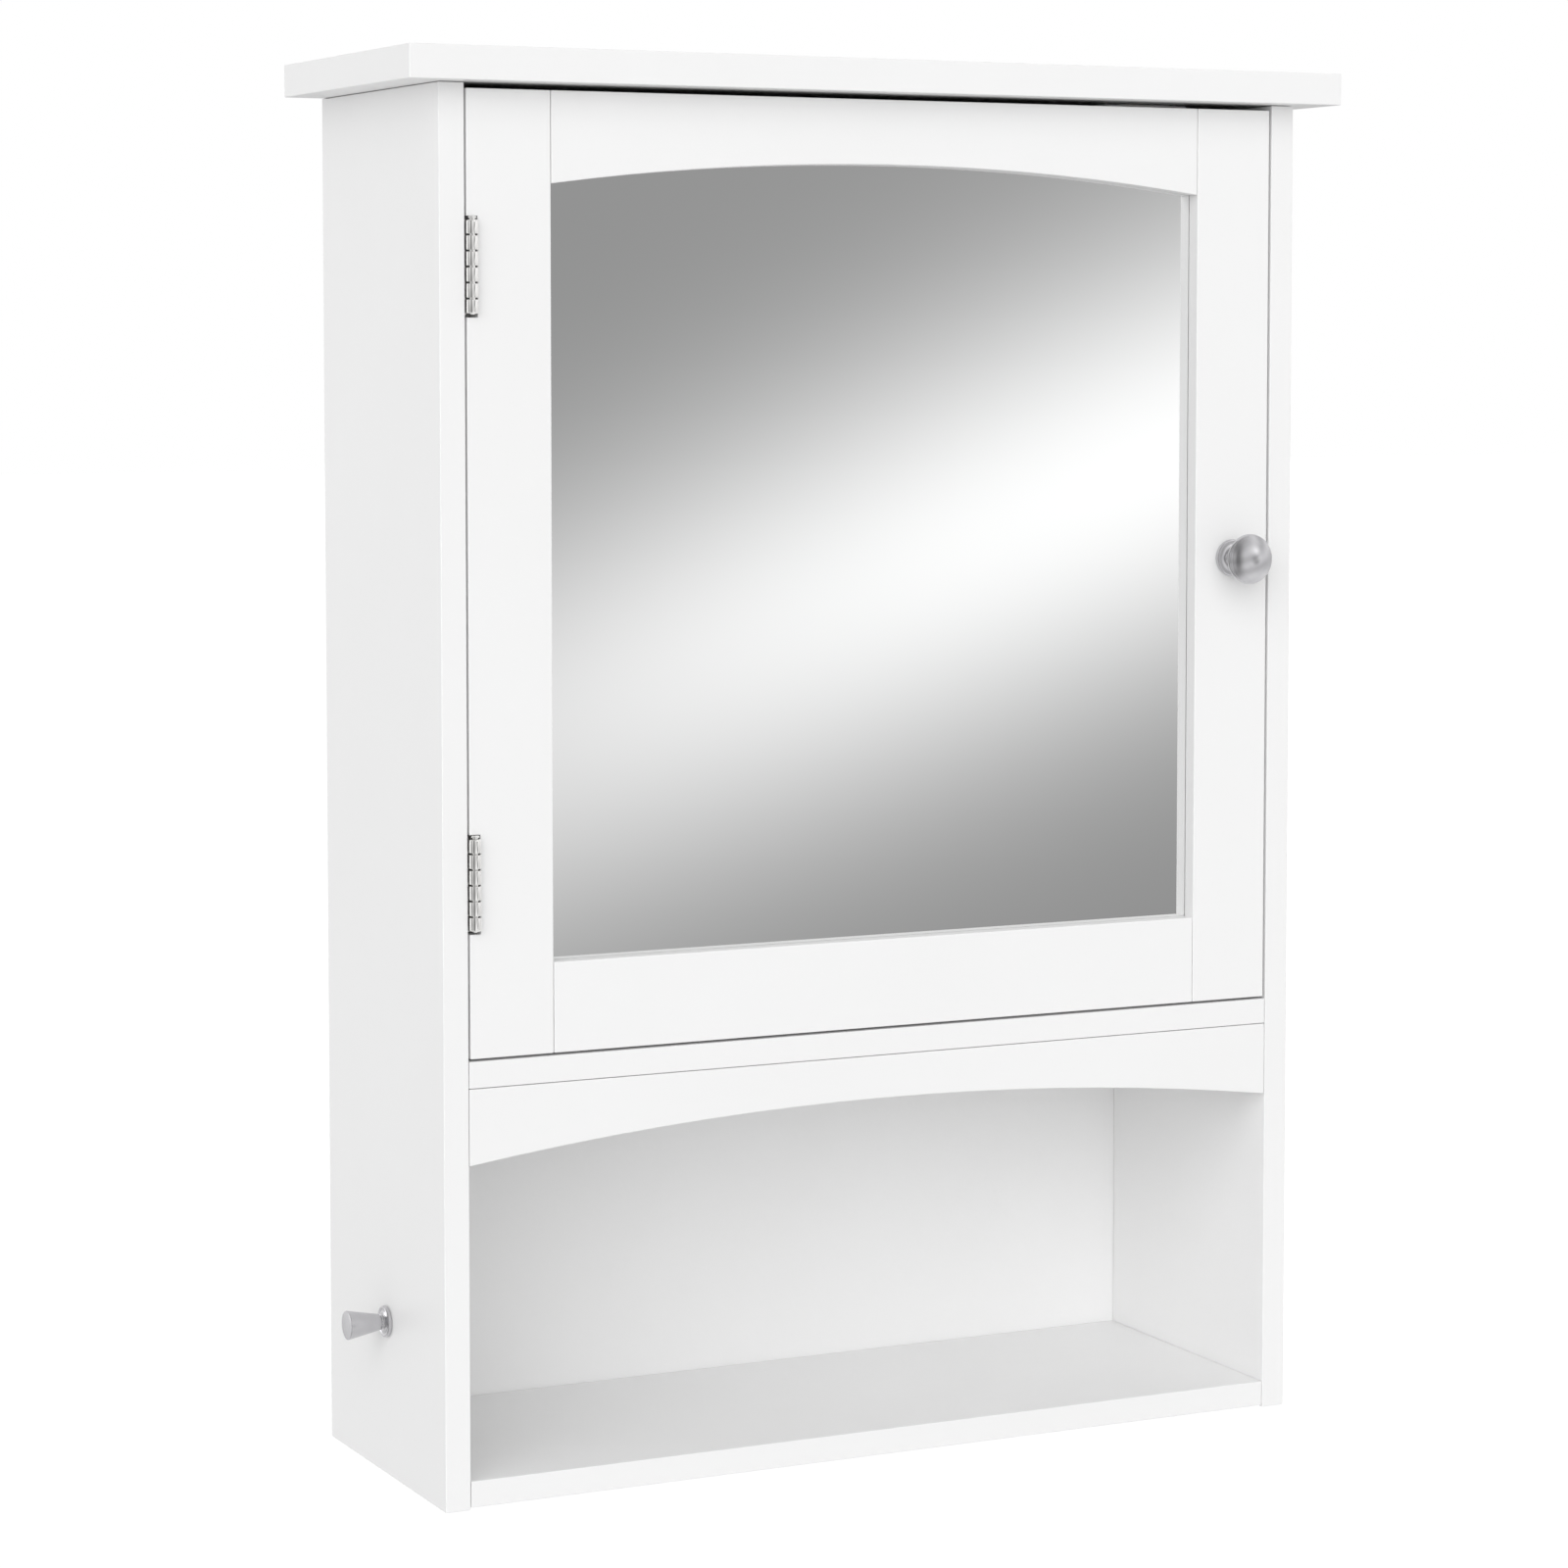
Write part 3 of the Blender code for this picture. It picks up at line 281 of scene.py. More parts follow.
PAINT = white_paint()
BACK_PAINT = white_paint("rolled_white_back_board", 0.00005, 0.935)
MIRROR = silvered_mirror()
MIRROR_BACK = mirror_back()
GLASS_EDGE = glass_edge()
HARDBOARD = hardboard()
STEEL = bright_steel()
NICKEL = satin_nickel()
ZINC = zinc_plate()
PLASTIC = moulded_plastic()
FERRITE = ferrite()


# ---------------------------------------------------------------- mesh tools

def new_object(name, mesh):
    made = bpy.data.objects.new(name, mesh)
    bpy.context.scene.collection.objects.link(made)
    return made


def as_object(name, shape):
    """Close a bmesh into a new object, with its faces turned outwards."""
    bmesh.ops.recalc_face_normals(shape, faces=shape.faces)
    mesh = bpy.data.meshes.new(name)
    shape.to_mesh(mesh)
    shape.free()
    return new_object(name, mesh)


def finished(obj):
    """Apply an object's modifiers, weld it, and shade it smooth between its sharp edges."""
    bpy.context.view_layer.update()
    mesh = bpy.data.meshes.new_from_object(obj.evaluated_get(bpy.context.evaluated_depsgraph_get()))
    shape = bmesh.new()
    shape.from_mesh(mesh)
    bmesh.ops.remove_doubles(shape, verts=shape.verts, dist=1e-7)
    bmesh.ops.recalc_face_normals(shape, faces=shape.faces)
    shape.to_mesh(mesh)
    shape.free()
    mesh.shade_smooth()
    mesh.set_sharp_from_angle(angle=math.radians(32))
    old = obj.data
    obj.modifiers.clear()
    obj.data = mesh
    bpy.data.meshes.remove(old)
    return obj


def lathe(name, profile, steps=TURNED_STEPS):
    """Turn (radius, height) points round local Z; the first and last lie on the axis."""
    shape = bmesh.new()
    rings = []
    for radius, height in profile:
        if radius < 1e-9:
            rings.append([shape.verts.new((0.0, 0.0, height))])
            continue
        angles = [2 * math.pi * step / steps for step in range(steps)]
        rings.append([shape.verts.new((radius * math.cos(a), radius * math.sin(a), height)) for a in angles])
    for upper, lower in zip(rings, rings[1:]):
        for step in range(steps):
            after = (step + 1) % steps
            corners = [upper[step % len(upper)], upper[after % len(upper)],
                       lower[after % len(lower)], lower[step % len(lower)]]
            shape.faces.new(list(dict.fromkeys(corners)))
    return as_object(name, shape)


def slab(name, low, high, rounding=0.0, segments=3):
    """A board between two corners; its rounding is a modifier until it is finished."""
    low, high = Vector(low), Vector(high)
    mesh = bpy.data.meshes.new(name)
    shape = bmesh.new()
    place = Matrix.Translation((low + high) / 2) @ Matrix.Diagonal((*(high - low), 1.0))
    bmesh.ops.create_cube(shape, size=1.0, matrix=place)
    shape.to_mesh(mesh)
    shape.free()
    made = new_object(name, mesh)
    if rounding:
        round_edges(made, rounding, segments)
    return made


def round_edges(obj, radius, segments):
    bevel = obj.modifiers.new("rounding", "BEVEL")
    bevel.width = radius
    bevel.segments = segments
    bevel.limit_method = "ANGLE"
    bevel.angle_limit = math.radians(40)
    bevel.use_clamp_overlap = True


def combine(obj, tool, operation):
    """Cut with a tool or join it on at once, and drop the tool."""
    modifier = obj.modifiers.new(operation.lower(), "BOOLEAN")
    modifier.operation = operation
    modifier.solver = "MANIFOLD"
    modifier.object = tool
    finished(obj)
    bpy.data.objects.remove(tool, do_unlink=True)


def arc(centre, radius, from_degrees, to_degrees, steps):
    """Points of a profile's arc, angles from outwards (0) to up (90)."""
    points = []
    for step in range(steps + 1):
        angle = math.radians(from_degrees + (to_degrees - from_degrees) * step / steps)
        points.append((centre[0] + radius * math.cos(angle), centre[1] + radius * math.sin(angle)))
    return points


def aimed(obj, at, direction):
    """Put local Z along the direction, with the origin at the point."""
    obj.matrix_world = Matrix.Translation(at) @ Vector(direction).to_track_quat("Z", "Y").to_matrix().to_4x4()


def cover(obj, *materials):
    obj.data.materials.clear()
    for material in materials:
        obj.data.materials.append(material)


def stand_for(piece, node, material):
    """The piece takes the CAD node's place and body, and wears the given material."""
    cover(piece, material)
    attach(piece, BODY_OF[node])
    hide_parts(node)


# ---------------------------------------------------------------- boards

def paint_boards():
    for node, obj in frame["nodes"].items():
        if SLOT_OF[node] == "white_paint":
            cover(obj, BACK_PAINT if node == "back_panel" else PAINT)


def finish_mirror():
    """Silvered glass: reflecting face, lacquered rear and ground edges, on the CAD solids."""
    glass = frame["nodes"]["mirror_glass"]
    cover(glass, MIRROR, MIRROR_BACK, GLASS_EDGE)
    front, rear, edge = 0, 1, 2
    for face in glass.data.polygons:
        if abs(face.normal.y) > 0.9:
            face.material_index = front if face.normal.y < 0 else rear
        else:
            face.material_index = edge
    cover(frame["nodes"]["mirror_backing"], HARDBOARD)


# ---------------------------------------------------------------- knob and peg

def make_knob():
    """Mushroom knob: a dome over a rolled rim, a bead under it, a waisted neck and a flared base."""
    low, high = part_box("door_knob")
    length, radius = high.y - low.y, (high.x - low.x) / 2
    base, bead, neck = radius * 0.733, radius * 0.70, radius * 0.36
    widest, bead_height, bead_size = length * 0.705, length * 0.565, 0.00055
    rim, rim_end = radius * 0.235, math.radians(52)
    dome_foot = radius - rim + rim * math.cos(rim_end)
    crown = length - (widest + rim * math.sin(rim_end))
    dome = (dome_foot ** 2 + crown ** 2) / (2 * crown)
    reach = math.degrees(math.asin(dome_foot / dome))
    waist, waist_height = 0.0040, length * 0.375
    flare, flare_height = 0.0026, 0.0048
    foot, foot_height, base_edge, base_edge_height = 0.0017, 0.00215, 0.0007, 0.0014
    profile = [(0.0, length), *arc((0.0, length - dome), dome, 89, 90 - reach, 14),
               *arc((radius - rim, widest), rim, 46, -62, 12),
               *arc((bead, bead_height), bead_size, 60, -90, 6),
               *arc((neck + waist, waist_height), waist, 95, 180, 8),
               *arc((neck + flare, flare_height), flare, 180, 262, 7),
               (base - foot, foot_height),
               *arc((base - base_edge, base_edge_height), base_edge, 100, 0, 6),
               (base, 0.0), (0.0, 0.0)]
    knob = finished(lathe("door_knob_turned", profile))
    aimed(knob, ((low.x + high.x) / 2, high.y, (low.z + high.z) / 2), (0, -1, 0))
    stand_for(knob, "door_knob", NICKEL)
    knob.visible_glossy = False         # the mirror shows only the room


def make_peg():
    """Peg that widens to its tip, on a round flange."""
    low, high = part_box("towel_peg")
    length, flange = high.x - low.x, (high.z - low.z) / 2
    tip, neck = flange * 0.924, flange * 0.50
    tip_edge = 0.00045
    fillet, fillet_height = 0.0012, 0.0031
    slope, slope_height = 0.0018, 0.00150
    flange_edge, flange_edge_height = 0.00075, 0.0011
    profile = [(0.0, length), *arc((tip - tip_edge, length - tip_edge), tip_edge, 90, 8, 6),
               *arc((neck + fillet, fillet_height), fillet, 172, 268, 8),
               (flange - slope, slope_height),
               *arc((flange - flange_edge, flange_edge_height), flange_edge, 105, 0, 8),
               (flange, 0.0), (0.0, 0.0)]
    peg = finished(lathe("towel_peg_turned", profile))
    aimed(peg, (high.x, (low.y + high.y) / 2, (low.z + high.z) / 2), (-1, 0, 0))
    stand_for(peg, "towel_peg", NICKEL)


# ---------------------------------------------------------------- screws

HEAD_DIRECTIONS = {"hinge_cabinet_screw": (1, 0, 0), "hinge_door_screw": (-1, 0, 0),
                   "hanger_screw": (0, 1, 0), "mirror_clip_screw": (0, 1, 0),
                   "catch_screw": (0, 0, -1), "back_screw": (0, 1, 0),
                   "door_knob_screw": (0, 1, 0), "towel_peg_screw": (1, 0, 0)}
PAN_HEADS = ("back_screw", "door_knob_screw")
SCREW_STEPS = 20
THREAD_ROOT, THREAD_CREST = 0.44, 0.56      # shares of the head's radius, as the next two lines are
THREAD_PITCH = 0.42
RECESS_REACH, RECESS_WIDTH, RECESS_DEPTH = 0.56, 0.13, 0.55
HOLE_CLEARANCE, HOLE_RIM, HOLE_RISE = 0.0002, 0.0003, 0.001
HOLE_STEPS = 40


def circle(radius, height, steps):
    angles = [2 * math.pi * step / steps for step in range(steps)]
    return [(radius * math.cos(angle), radius * math.sin(angle), height) for angle in angles]


def threaded_shank(radius, top, tip, rings_a_turn=6):
    """Rings of a pointed shank whose radius rises to a thread along a helix."""
    root, crest, pitch = radius * THREAD_ROOT, radius * THREAD_CREST, radius * THREAD_PITCH
    point, blunt, thread_width = radius * 1.1, 0.12, 0.22
    count = max(4, round((top - tip) / pitch * rings_a_turn))
    rings = []
    for ring in range(count + 1):
        height = top + (tip - top) * ring / count
        taper = min(1.0, (height - tip) / point)
        row = []
        for step in range(SCREW_STEPS):
            turn = step / SCREW_STEPS
            phase = (height / pitch + turn) % 1.0
            ridge = max(0.0, 1.0 - abs(phase - 0.5) / thread_width)
            here = (root + (crest - root) * ridge) * (blunt + (1 - blunt) * taper)
            row.append((here * math.cos(2 * math.pi * turn), here * math.sin(2 * math.pi * turn), height))
        rings.append(row)
    return rings


def head_outline(radius, pan):
    """(radius, height) points from the top of the head to its neck."""
    if pan:
        head = radius * 0.55
        dome = [(radius * math.sin(math.radians(a)), -head * (1 - math.cos(math.radians(a))))
                for a in (15, 30, 45, 60, 75, 90)]
        return [*dome, (radius * 0.98, -head * 1.02), (radius * 0.45, -head * 1.03)]
    return [(radius * 0.96, 0.0), (radius, -0.00006), (radius, -0.00028), (radius * 0.46, -radius * 0.52)]


def make_screw_mesh(name, radius, length, pan):
    """A screw from local Z = 0 at the top of its head down, with a cross recess."""
    outline = head_outline(radius, pan)
    neck = outline[-1][1]
    rings = [circle(ring_radius, height, SCREW_STEPS) for ring_radius, height in outline]
    rings += threaded_shank(radius, neck - radius * THREAD_PITCH * 0.4, -length)
    shape = bmesh.new()
    made = [[shape.verts.new(point) for point in ring] for ring in rings]
    for upper, lower in zip(made, made[1:]):
        for step in range(SCREW_STEPS):
            after = (step + 1) % SCREW_STEPS
            shape.faces.new((upper[step], lower[step], lower[after], upper[after]))
    shape.faces.new(made[0])
    shape.faces.new(list(reversed(made[-1])))
    screw = as_object(name, shape)
    reach, width, depth = radius * RECESS_REACH, radius * RECESS_WIDTH, radius * RECESS_DEPTH
    for turn in (0, 90):
        bit = slab(name + "_bit", (-reach, -width, -depth), (reach, width, depth))
        for vertex in bit.data.vertices:
            if vertex.co.z < 0:
                vertex.co.x *= 0.35
                vertex.co.y *= 0.7
        bit.rotation_euler.z = math.radians(turn)
        combine(screw, bit, "DIFFERENCE")
    mesh = screw.data
    bpy.data.objects.remove(screw, do_unlink=True)
    return mesh


def screw_place(node, direction):
    """Middle of a CAD screw's head, its head's radius and its length."""
    low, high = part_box(node)
    length = abs((high - low).dot(direction))
    return (low + high) / 2 + direction * length / 2, (sum(high - low) - length) / 4, length


def make_screws():
    meshes = {}
    for node in frame["nodes"]:
        kind = next((k for k in HEAD_DIRECTIONS if node.startswith(k)), None)
        if kind is None:
            continue
        direction = Vector(HEAD_DIRECTIONS[kind])
        head, radius, length = screw_place(node, direction)
        if kind not in meshes:
            meshes[kind] = make_screw_mesh(kind + "_threaded", radius, length, kind in PAN_HEADS)
        screw = new_object(node + "_threaded", meshes[kind])
        aimed(screw, head, direction)
        stand_for(screw, node, STEEL if kind.startswith("hinge") else ZINC)


def cut_screw_hole(part, name, head, direction, radius, seat, seat_depth, depth):
    """A clearance hole with a countersink round a screw's head."""
    rim = radius + HOLE_CLEARANCE
    hole = lathe(name + "_hole", [(0.0, HOLE_RISE), (rim, HOLE_RISE), (rim, -HOLE_RIM),
                                  (seat, -seat_depth), (seat, -depth), (0.0, -depth)], HOLE_STEPS)
    aimed(hole, head, direction)
    combine(part, hole, "DIFFERENCE")


def cut_for_screw(part, screw_node, direction):
    direction = Vector(direction)
    head, radius, _ = screw_place(screw_node, direction)
    cut_screw_hole(part, screw_node, head, direction, radius, radius * 0.58, radius * 0.56, 0.02)


# ---------------------------------------------------------------- hinges

KNUCKLES = 6
KNUCKLE_GAP = 0.0008
KNUCKLE_EDGE, BARREL_END_EDGE = 0.00022, 0.0009
LEAF_THICKNESS = 0.001
LEAF_INSET = 0.0001
PIN_BORE = 0.0016
BORE_PAST_END = 0.01
ROOT_INSET, ROOT_END_INSET, ROOT_OVERLAP = 0.00005, 0.0001, 0.0005


def make_leaf(node, side_of_axis, first_knuckle):
    """Leaf with every second knuckle rolled on it, bored for the pin and cut for its screws."""
    low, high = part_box(node)
    barrel = HINGE_AXIS.y - low.y
    outer = HINGE_AXIS.x + side_of_axis * (barrel - LEAF_INSET)
    left, right = sorted((outer, outer - side_of_axis * LEAF_THICKNESS))
    start = HINGE_AXIS.y + barrel + KNUCKLE_GAP
    leaf = slab(node + "_rolled", (left, start, low.z), (right, high.y, high.z))
    pitch = (high.z - low.z) / KNUCKLES
    for index in range(first_knuckle, KNUCKLES, 2):
        top = high.z - index * pitch - KNUCKLE_GAP / 2
        bottom = top - pitch + KNUCKLE_GAP
        upper = BARREL_END_EDGE if index == 0 else KNUCKLE_EDGE
        lower = BARREL_END_EDGE if index == KNUCKLES - 1 else KNUCKLE_EDGE
        profile = [(0.0, top), *arc((barrel - upper, top - upper), upper, 90, 0, 5),
                   *arc((barrel - lower, bottom + lower), lower, 0, -90, 5), (0.0, bottom)]
        knuckle = lathe(node + "_knuckle", profile, 64)
        knuckle.location = (HINGE_AXIS.x, HINGE_AXIS.y, 0.0)
        combine(leaf, knuckle, "UNION")
        root = slab(node + "_root", (left + ROOT_INSET, HINGE_AXIS.y, bottom + ROOT_END_INSET),
                    (right - ROOT_INSET, start + ROOT_OVERLAP, top - ROOT_END_INSET))
        combine(leaf, root, "UNION")
    bore_top, bore_bottom = high.z + BORE_PAST_END, low.z - BORE_PAST_END
    bore = lathe(node + "_bore", [(0.0, bore_top), (PIN_BORE, bore_top),
                                  (PIN_BORE, bore_bottom), (0.0, bore_bottom)], 48)
    bore.location = (HINGE_AXIS.x, HINGE_AXIS.y, 0.0)
    combine(leaf, bore, "DIFFERENCE")
    part = "cabinet" if side_of_axis < 0 else "door"
    level = node.split("_")[-1]
    direction = Vector((-side_of_axis, 0, 0))
    for end in ("top", "bottom"):
        head, radius, _ = screw_place(f"hinge_{part}_screw_{level}_{end}", direction)
        cut_screw_hole(leaf, node, head, direction, radius, radius * 0.5, 0.0014, 0.004)
    stand_for(leaf, node, STEEL)


def make_hinge_pin(node):
    low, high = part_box(node)
    length, head = high.z - low.z, (high.x - low.x) / 2
    shank, head_height, head_edge, end_edge = head * 0.68, 0.0008, 0.0005, 0.0004
    profile = [(0.0, 0.0), *arc((head - head_edge, -head_edge), head_edge, 90, 0, 6), (head, -head_height),
               (shank, -head_height), (shank, -length + end_edge), (shank - end_edge, -length), (0.0, -length)]
    pin = finished(lathe(node + "_turned", profile, 48))
    pin.location = (HINGE_AXIS.x, HINGE_AXIS.y, high.z)
    stand_for(pin, node, STEEL)


def make_hinges():
    for level in ("upper", "lower"):
        make_leaf(f"hinge_cabinet_leaf_{level}", -1, 1)
        make_leaf(f"hinge_door_leaf_{level}", 1, 0)
        make_hinge_pin(f"hinge_pin_{level}")


# ---------------------------------------------------------------- small fittings

def make_shelf_pins():
    """Pins with a collar against the side board and a rounded nose under the shelf."""
    shank_length = 0.0075
    collar_front, collar_back, collar_edge = 0.0012, 0.0003, 0.0003
    nose_edge, shank_edge = 0.0007, 0.0005
    for side, inward in (("left", 1), ("right", -1)):
        for line in ("front", "rear"):
            node = f"shelf_pin_{side}_{line}"
            low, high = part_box(node)
            nose, collar = high.x - low.x - shank_length, (high.z - low.z) / 2
            shank = collar * 0.655
            profile = [(0.0, nose), *arc((shank - nose_edge, nose - nose_edge), nose_edge, 90, 0, 5),
                       (shank, collar_front),
                       *arc((collar - collar_edge, collar_front - collar_edge), collar_edge, 90, 0, 4),
                       (collar, collar_back), (shank, collar_back), (shank, -shank_length + shank_edge),
                       (shank - shank_edge, -shank_length), (0.0, -shank_length)]
            pin = finished(lathe(node + "_turned", profile, 48))
            wall = low.x + shank_length if inward > 0 else high.x - shank_length
            aimed(pin, (wall, (low.y + high.y) / 2, (low.z + high.z) / 2), (inward, 0, 0))
            stand_for(pin, node, ZINC)


def make_hanger_plates():
    """Stamped plates with a keyhole: a round hole for a screw's head, and a slot above it for its shank."""
    hole, hole_z = 0.0045, -0.004
    slot_half, slot_height = 0.0022, 0.009
    past = 0.01
    for side in ("left", "right"):
        node = f"hanger_plate_{side}"
        low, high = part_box(node)
        x = (low.x + high.x) / 2
        plate = finished(slab(node + "_stamped", low, high, 0.0003))
        for radius, z in ((hole, hole_z), (slot_half, hole_z + slot_height)):
            cutter = lathe(node + "_keyhole", [(0.0, past), (radius, past), (radius, -past), (0.0, -past)], 64)
            aimed(cutter, (x, low.y, z), (0, 1, 0))
            combine(plate, cutter, "DIFFERENCE")
        combine(plate, slab(node + "_slot", (x - slot_half, low.y - past, hole_z),
                            (x + slot_half, high.y + past, hole_z + slot_height)), "DIFFERENCE")
        for end in ("upper", "lower"):
            cut_for_screw(plate, f"hanger_screw_{side}_{end}", (0, 1, 0))
        stand_for(plate, node, ZINC)


def make_mirror_clips():
    """Clips with a foot down onto the backing and three grip grooves over it."""
    plate = 0.0015
    foot_start, foot_inset, foot_overlap = 0.0040, 0.0008, 0.0006
    groove_pitch, groove_half, groove_depth, groove_past = 0.0024, 0.0005, 0.0003, 0.0002
    for side, inward in (("left", 1), ("right", -1)):
        for level in ("upper", "lower"):
            node = f"mirror_clip_{side}_{level}"
            low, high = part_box(node)
            plate_low = high.y - plate
            clip = finished(slab(node + "_moulded", (low.x, plate_low, low.z), high, 0.0005, 4))
            foot_low, foot_high = sorted(((low.x + high.x) / 2 + inward * foot_start,
                                          (high.x if inward > 0 else low.x) - inward * foot_inset))
            foot = finished(slab(node + "_foot", (foot_low, low.y, low.z + foot_inset),
                                 (foot_high, plate_low + foot_overlap, high.z - foot_inset), 0.0002, 2))
            combine(clip, foot, "UNION")
            for rib in (-1, 0, 1):
                z = (low.z + high.z) / 2 + rib * groove_pitch
                groove = slab(node + "_groove",
                              (foot_low - groove_past, high.y - groove_depth, z - groove_half),
                              (foot_high, high.y + 0.001, z + groove_half))
                combine(clip, groove, "DIFFERENCE")
            cut_for_screw(clip, f"mirror_clip_screw_{side}_{level}", (0, 1, 0))
            stand_for(clip, node, PLASTIC)


def make_catch():
    """Magnet in a housing with two screw ears, and a strike plate with a spike into the door."""
    low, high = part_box("catch_housing")
    body_half, ear_thickness, ear_inset, magnet_gap = 0.014, 0.003, 0.0003, 0.0003
    x = (low.x + high.x) / 2
    housing = finished(slab("catch_housing_moulded", (x - body_half, low.y, low.z),
                            (x + body_half, high.y, high.z), 0.0012, 4))
    ears = finished(slab("catch_ears", (low.x, low.y + ear_inset, high.z - ear_thickness),
                         (high.x, high.y - ear_inset, high.z - ear_inset), 0.0010, 4))
    combine(housing, ears, "UNION")
    magnet_low, magnet_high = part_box("catch_magnet")
    gap = Vector((magnet_gap, magnet_gap, magnet_gap))
    combine(housing, slab("magnet_pocket", magnet_low - gap, magnet_high + gap), "DIFFERENCE")
    for side in ("left", "right"):
        cut_for_screw(housing, f"catch_screw_{side}", (0, 0, -1))
    stand_for(housing, "catch_housing", PLASTIC)
    magnet = finished(slab("catch_magnet_ground", magnet_low, magnet_high, 0.0004))
    stand_for(magnet, "catch_magnet", FERRITE)

    low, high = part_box("strike_plate")
    centre = (low + high) / 2
    plate_front = high.y - 0.0012
    strike = finished(slab("strike_plate_stamped", (low.x, plate_front, low.z), high, 0.0003))
    radius, point, shoulder, tip, overlap = 0.0012, 0.0002, 0.0045, 0.006, 0.0002
    spike = lathe("strike_spike", [(0.0, overlap), (radius, overlap), (radius, -shoulder), (point, -tip),
                                   (0.0, -tip)], 24)
    aimed(spike, (centre.x, plate_front, centre.z), (0, 1, 0))
    combine(strike, spike, "UNION")
    stand_for(strike, "strike_plate", ZINC)


# ---------------------------------------------------------------- room, lights and camera

def bearing(azimuth, elevation):
    """Unit direction out of the cabinet's front; a positive azimuth turns towards +X."""
    a, e = math.radians(azimuth), math.radians(elevation)
    return Vector((math.sin(a) * math.cos(e), -math.cos(a) * math.cos(e), math.sin(e)))


def make_floor():
    """Pale floor: shaded as usual, filled up towards white, and left out of reflections."""
    mesh = bpy.data.meshes.new("floor")
    shape = bmesh.new()
    bmesh.ops.create_grid(shape, x_segments=1, y_segments=1, size=FLOOR_HALF_WIDTH)
    shape.to_mesh(mesh)
    shape.free()
    floor = new_object("floor", mesh)
    floor.location.z = FLOOR_LEVEL
    recipe = Recipe("pale_floor", roughness=0.9, Base_Color=grey(FLOOR_PAINT), Specular_IOR_Level=0.0)
    rays = recipe.node("ShaderNodeLightPath").outputs
    seen = recipe.node("ShaderNodeEmission", Strength=FLOOR_FILL_SEEN).outputs[0]
    bounced = recipe.node("ShaderNodeEmission", Strength=FLOOR_FILL_BOUNCED).outputs[0]
    clear = recipe.node("ShaderNodeBsdfTransparent").outputs[0]
    fill = recipe.node("ShaderNodeMixShader", rays["Is Camera Ray"], bounced, seen).outputs[0]
    surface = recipe.node("ShaderNodeAddShader", recipe.shader.outputs[0], fill).outputs[0]
    shown = recipe.node("ShaderNodeMixShader", rays["Is Glossy Ray"], surface, clear).outputs[0]
    recipe.feed(recipe.tree.nodes["Material Output"].inputs["Surface"], shown)
    mesh.materials.append(recipe.material)


class Surroundings(Graph):
    """What a ray out of the scene meets, worked out from the ray's direction."""

    def __init__(self, tree):
        super().__init__(tree)
        self.sight = self.node("ShaderNodeTexCoord").outputs["Generated"]

    def along(self, direction):
        """Cosine between the ray and a direction."""
        settings = {"operation": "DOT_PRODUCT"}
        return self.node("ShaderNodeVectorMath", self.sight, direction, settings=settings).outputs["Value"]

    def bell(self, direction, width):
        """1 across the direction, falling off smoothly to its two sides."""
        scaled = self.math("DIVIDE", self.along(direction), math.radians(width))
        return self.math("EXPONENT", self.math("MULTIPLY", self.math("MULTIPLY", scaled, scaled), -0.5))

    def room(self, wave_direction):
        """Walls: slanted waves of light, parted by dark upright gaps."""
        phase = self.math("ADD", self.math("MULTIPLY", self.along(wave_direction), 360.0 / ROOM_WAVE),
                          math.radians(ROOM_WAVE_START))
        wave = self.math("MULTIPLY", self.math("SINE", phase), (ROOM_HIGH - ROOM_LOW) / 2)
        level = self.math("ADD", wave, (ROOM_HIGH + ROOM_LOW) / 2)
        for azimuth, width, depth in GAPS:
            ahead = self.math("MAXIMUM", self.along(bearing(azimuth, 0.0)), 0.0)
            shade = self.math("MULTIPLY", self.bell(bearing(azimuth + 90.0, 0.0), width), ahead)
            left = self.math("SUBTRACT", 1.0, self.math("MULTIPLY", shade, depth))
            level = self.math("MULTIPLY", level, left)
        return level

    def screened(self, level):
        """The level with the grey screen in front of it."""
        screen = self.node("ShaderNodeMapRange", self.along(bearing(SCREEN_AZIMUTH, SCREEN_ELEVATION)),
                           math.cos(math.radians(SCREEN_OUTER)), math.cos(math.radians(SCREEN_INNER)),
                           settings={"interpolation_type": "SMOOTHSTEP"})
        return self.mix(screen.outputs[0], level, SCREEN_GREY)

    def lit(self, level, middle, first, first_width, second, second_width, glow):
        """The level with a soft light added at the middle, with its own width along each of two directions."""
        ahead = self.math("GREATER_THAN", self.along(middle), 0.0)
        shape = self.math("MULTIPLY", self.bell(first, first_width), self.bell(second, second_width))
        return self.math("ADD", level, self.math("MULTIPLY", self.math("MULTIPLY", shape, ahead), glow))


def strip_directions():
    """The strip light's middle, and the directions along and across it."""
    middle = bearing(STRIP_AZIMUTH, STRIP_ELEVATION)
    beside = bearing(STRIP_AZIMUTH + 90.0, 0.0)
    above = middle.cross(beside)
    if above.z < 0:
        above.negate()
    turn = math.radians(STRIP_TILT)
    return (middle, beside * math.cos(turn) + above * math.sin(turn),
            above * math.cos(turn) - beside * math.sin(turn))


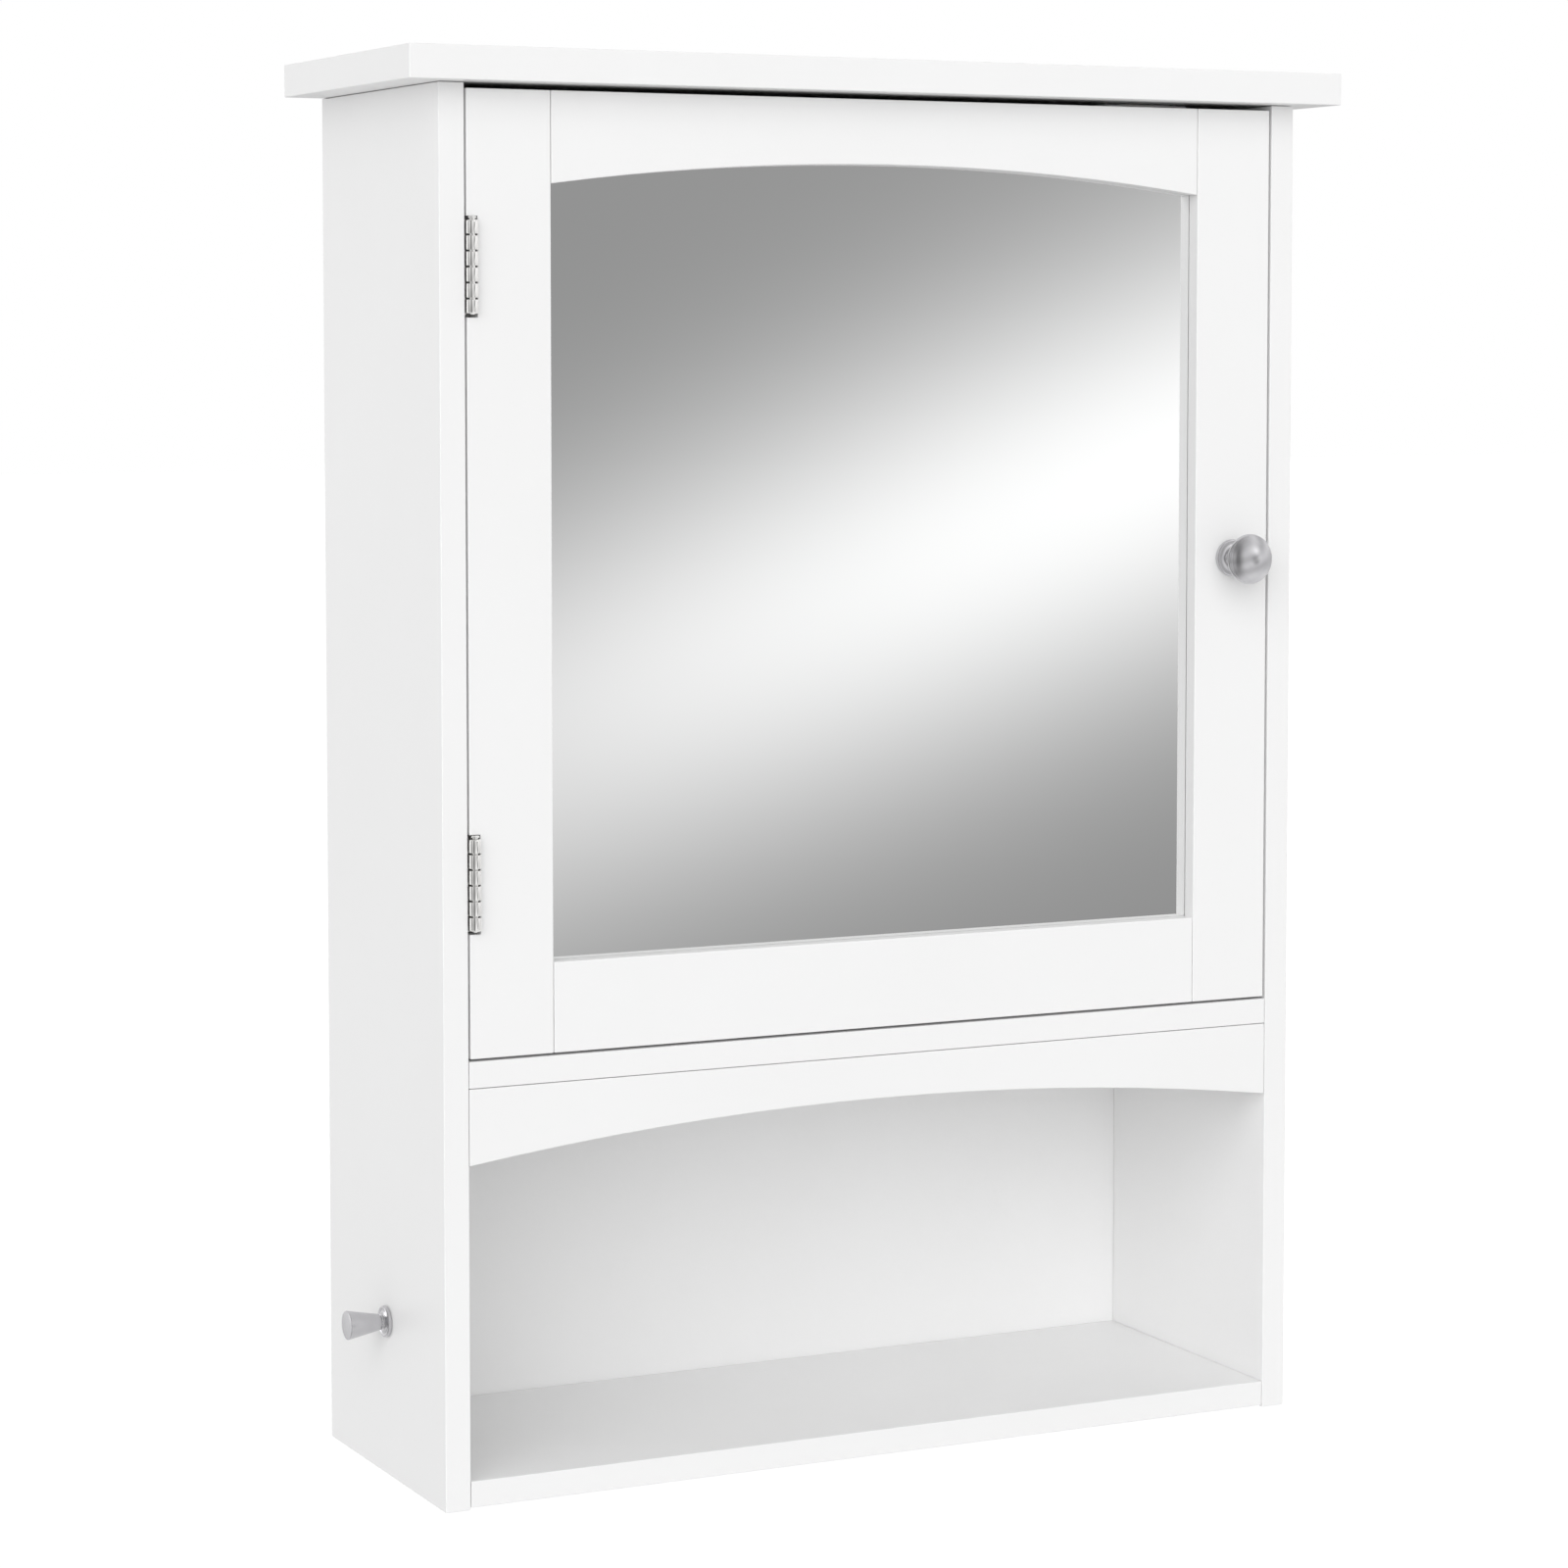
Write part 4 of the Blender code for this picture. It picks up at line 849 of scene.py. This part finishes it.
def make_world():
    """White to the eye, an even soft light on surfaces, and the made-up room in reflections."""
    world = bpy.data.worlds.new("studio")
    bpy.context.scene.world = world
    world.use_nodes = True
    graph = Surroundings(world.node_tree)

    middle, lengthwise, crosswise = strip_directions()
    reflected = graph.screened(graph.room(crosswise))
    reflected = graph.lit(reflected, middle, lengthwise, STRIP_LENGTH, crosswise, STRIP_WIDTH, STRIP_GLOW)
    for azimuth, elevation, width, glow in LAMPS:
        middle, beside = bearing(azimuth, elevation), bearing(azimuth + 90.0, 0.0)
        reflected = graph.lit(reflected, middle, beside, width, middle.cross(beside), width, glow)

    # The room is for mirrors and metal seen at first hand; after a matt bounce all is even light
    rays = graph.node("ShaderNodeLightPath").outputs
    matt = graph.math("GREATER_THAN", rays["Diffuse Depth"], 0.5)
    shown = graph.math("MULTIPLY", rays["Is Glossy Ray"], graph.math("SUBTRACT", 1.0, matt))
    level = graph.mix(rays["Is Camera Ray"], graph.mix(shown, AMBIENT, reflected), 1.0)
    background = world.node_tree.nodes["Background"]
    background.inputs["Color"].default_value = grey(1.0)
    graph.feed(background.inputs["Strength"], level)


def make_key_light():
    light = bpy.data.lights.new("key", "SUN")
    light.angle = math.radians(KEY_SPREAD)
    light.energy = KEY_LEVEL * math.pi
    lamp = bpy.data.objects.new("key", light)
    bpy.context.scene.collection.objects.link(lamp)
    lamp.rotation_euler = bearing(KEY_AZIMUTH, KEY_ELEVATION).to_track_quat("Z", "Y").to_euler()
    lamp.visible_glossy = False


def make_camera():
    data = bpy.data.cameras.new("camera")
    data.lens = CAMERA_LENS
    data.sensor_width = CAMERA_SENSOR
    data.shift_y = CAMERA_SHIFT
    camera = bpy.data.objects.new("camera", data)
    bpy.context.scene.collection.objects.link(camera)
    camera.location = CAMERA_PLACE
    camera.rotation_euler = (math.radians(90 - CAMERA_PITCH), 0.0, math.radians(-CAMERA_YAW))
    bpy.context.scene.camera = camera


bpy.context.scene.view_settings.view_transform = "Standard"
make_camera()
make_world()
make_key_light()
make_floor()
paint_boards()
finish_mirror()
make_knob()
make_peg()
make_screws()
make_hinges()
make_shelf_pins()
make_hanger_plates()
make_mirror_clips()
make_catch()
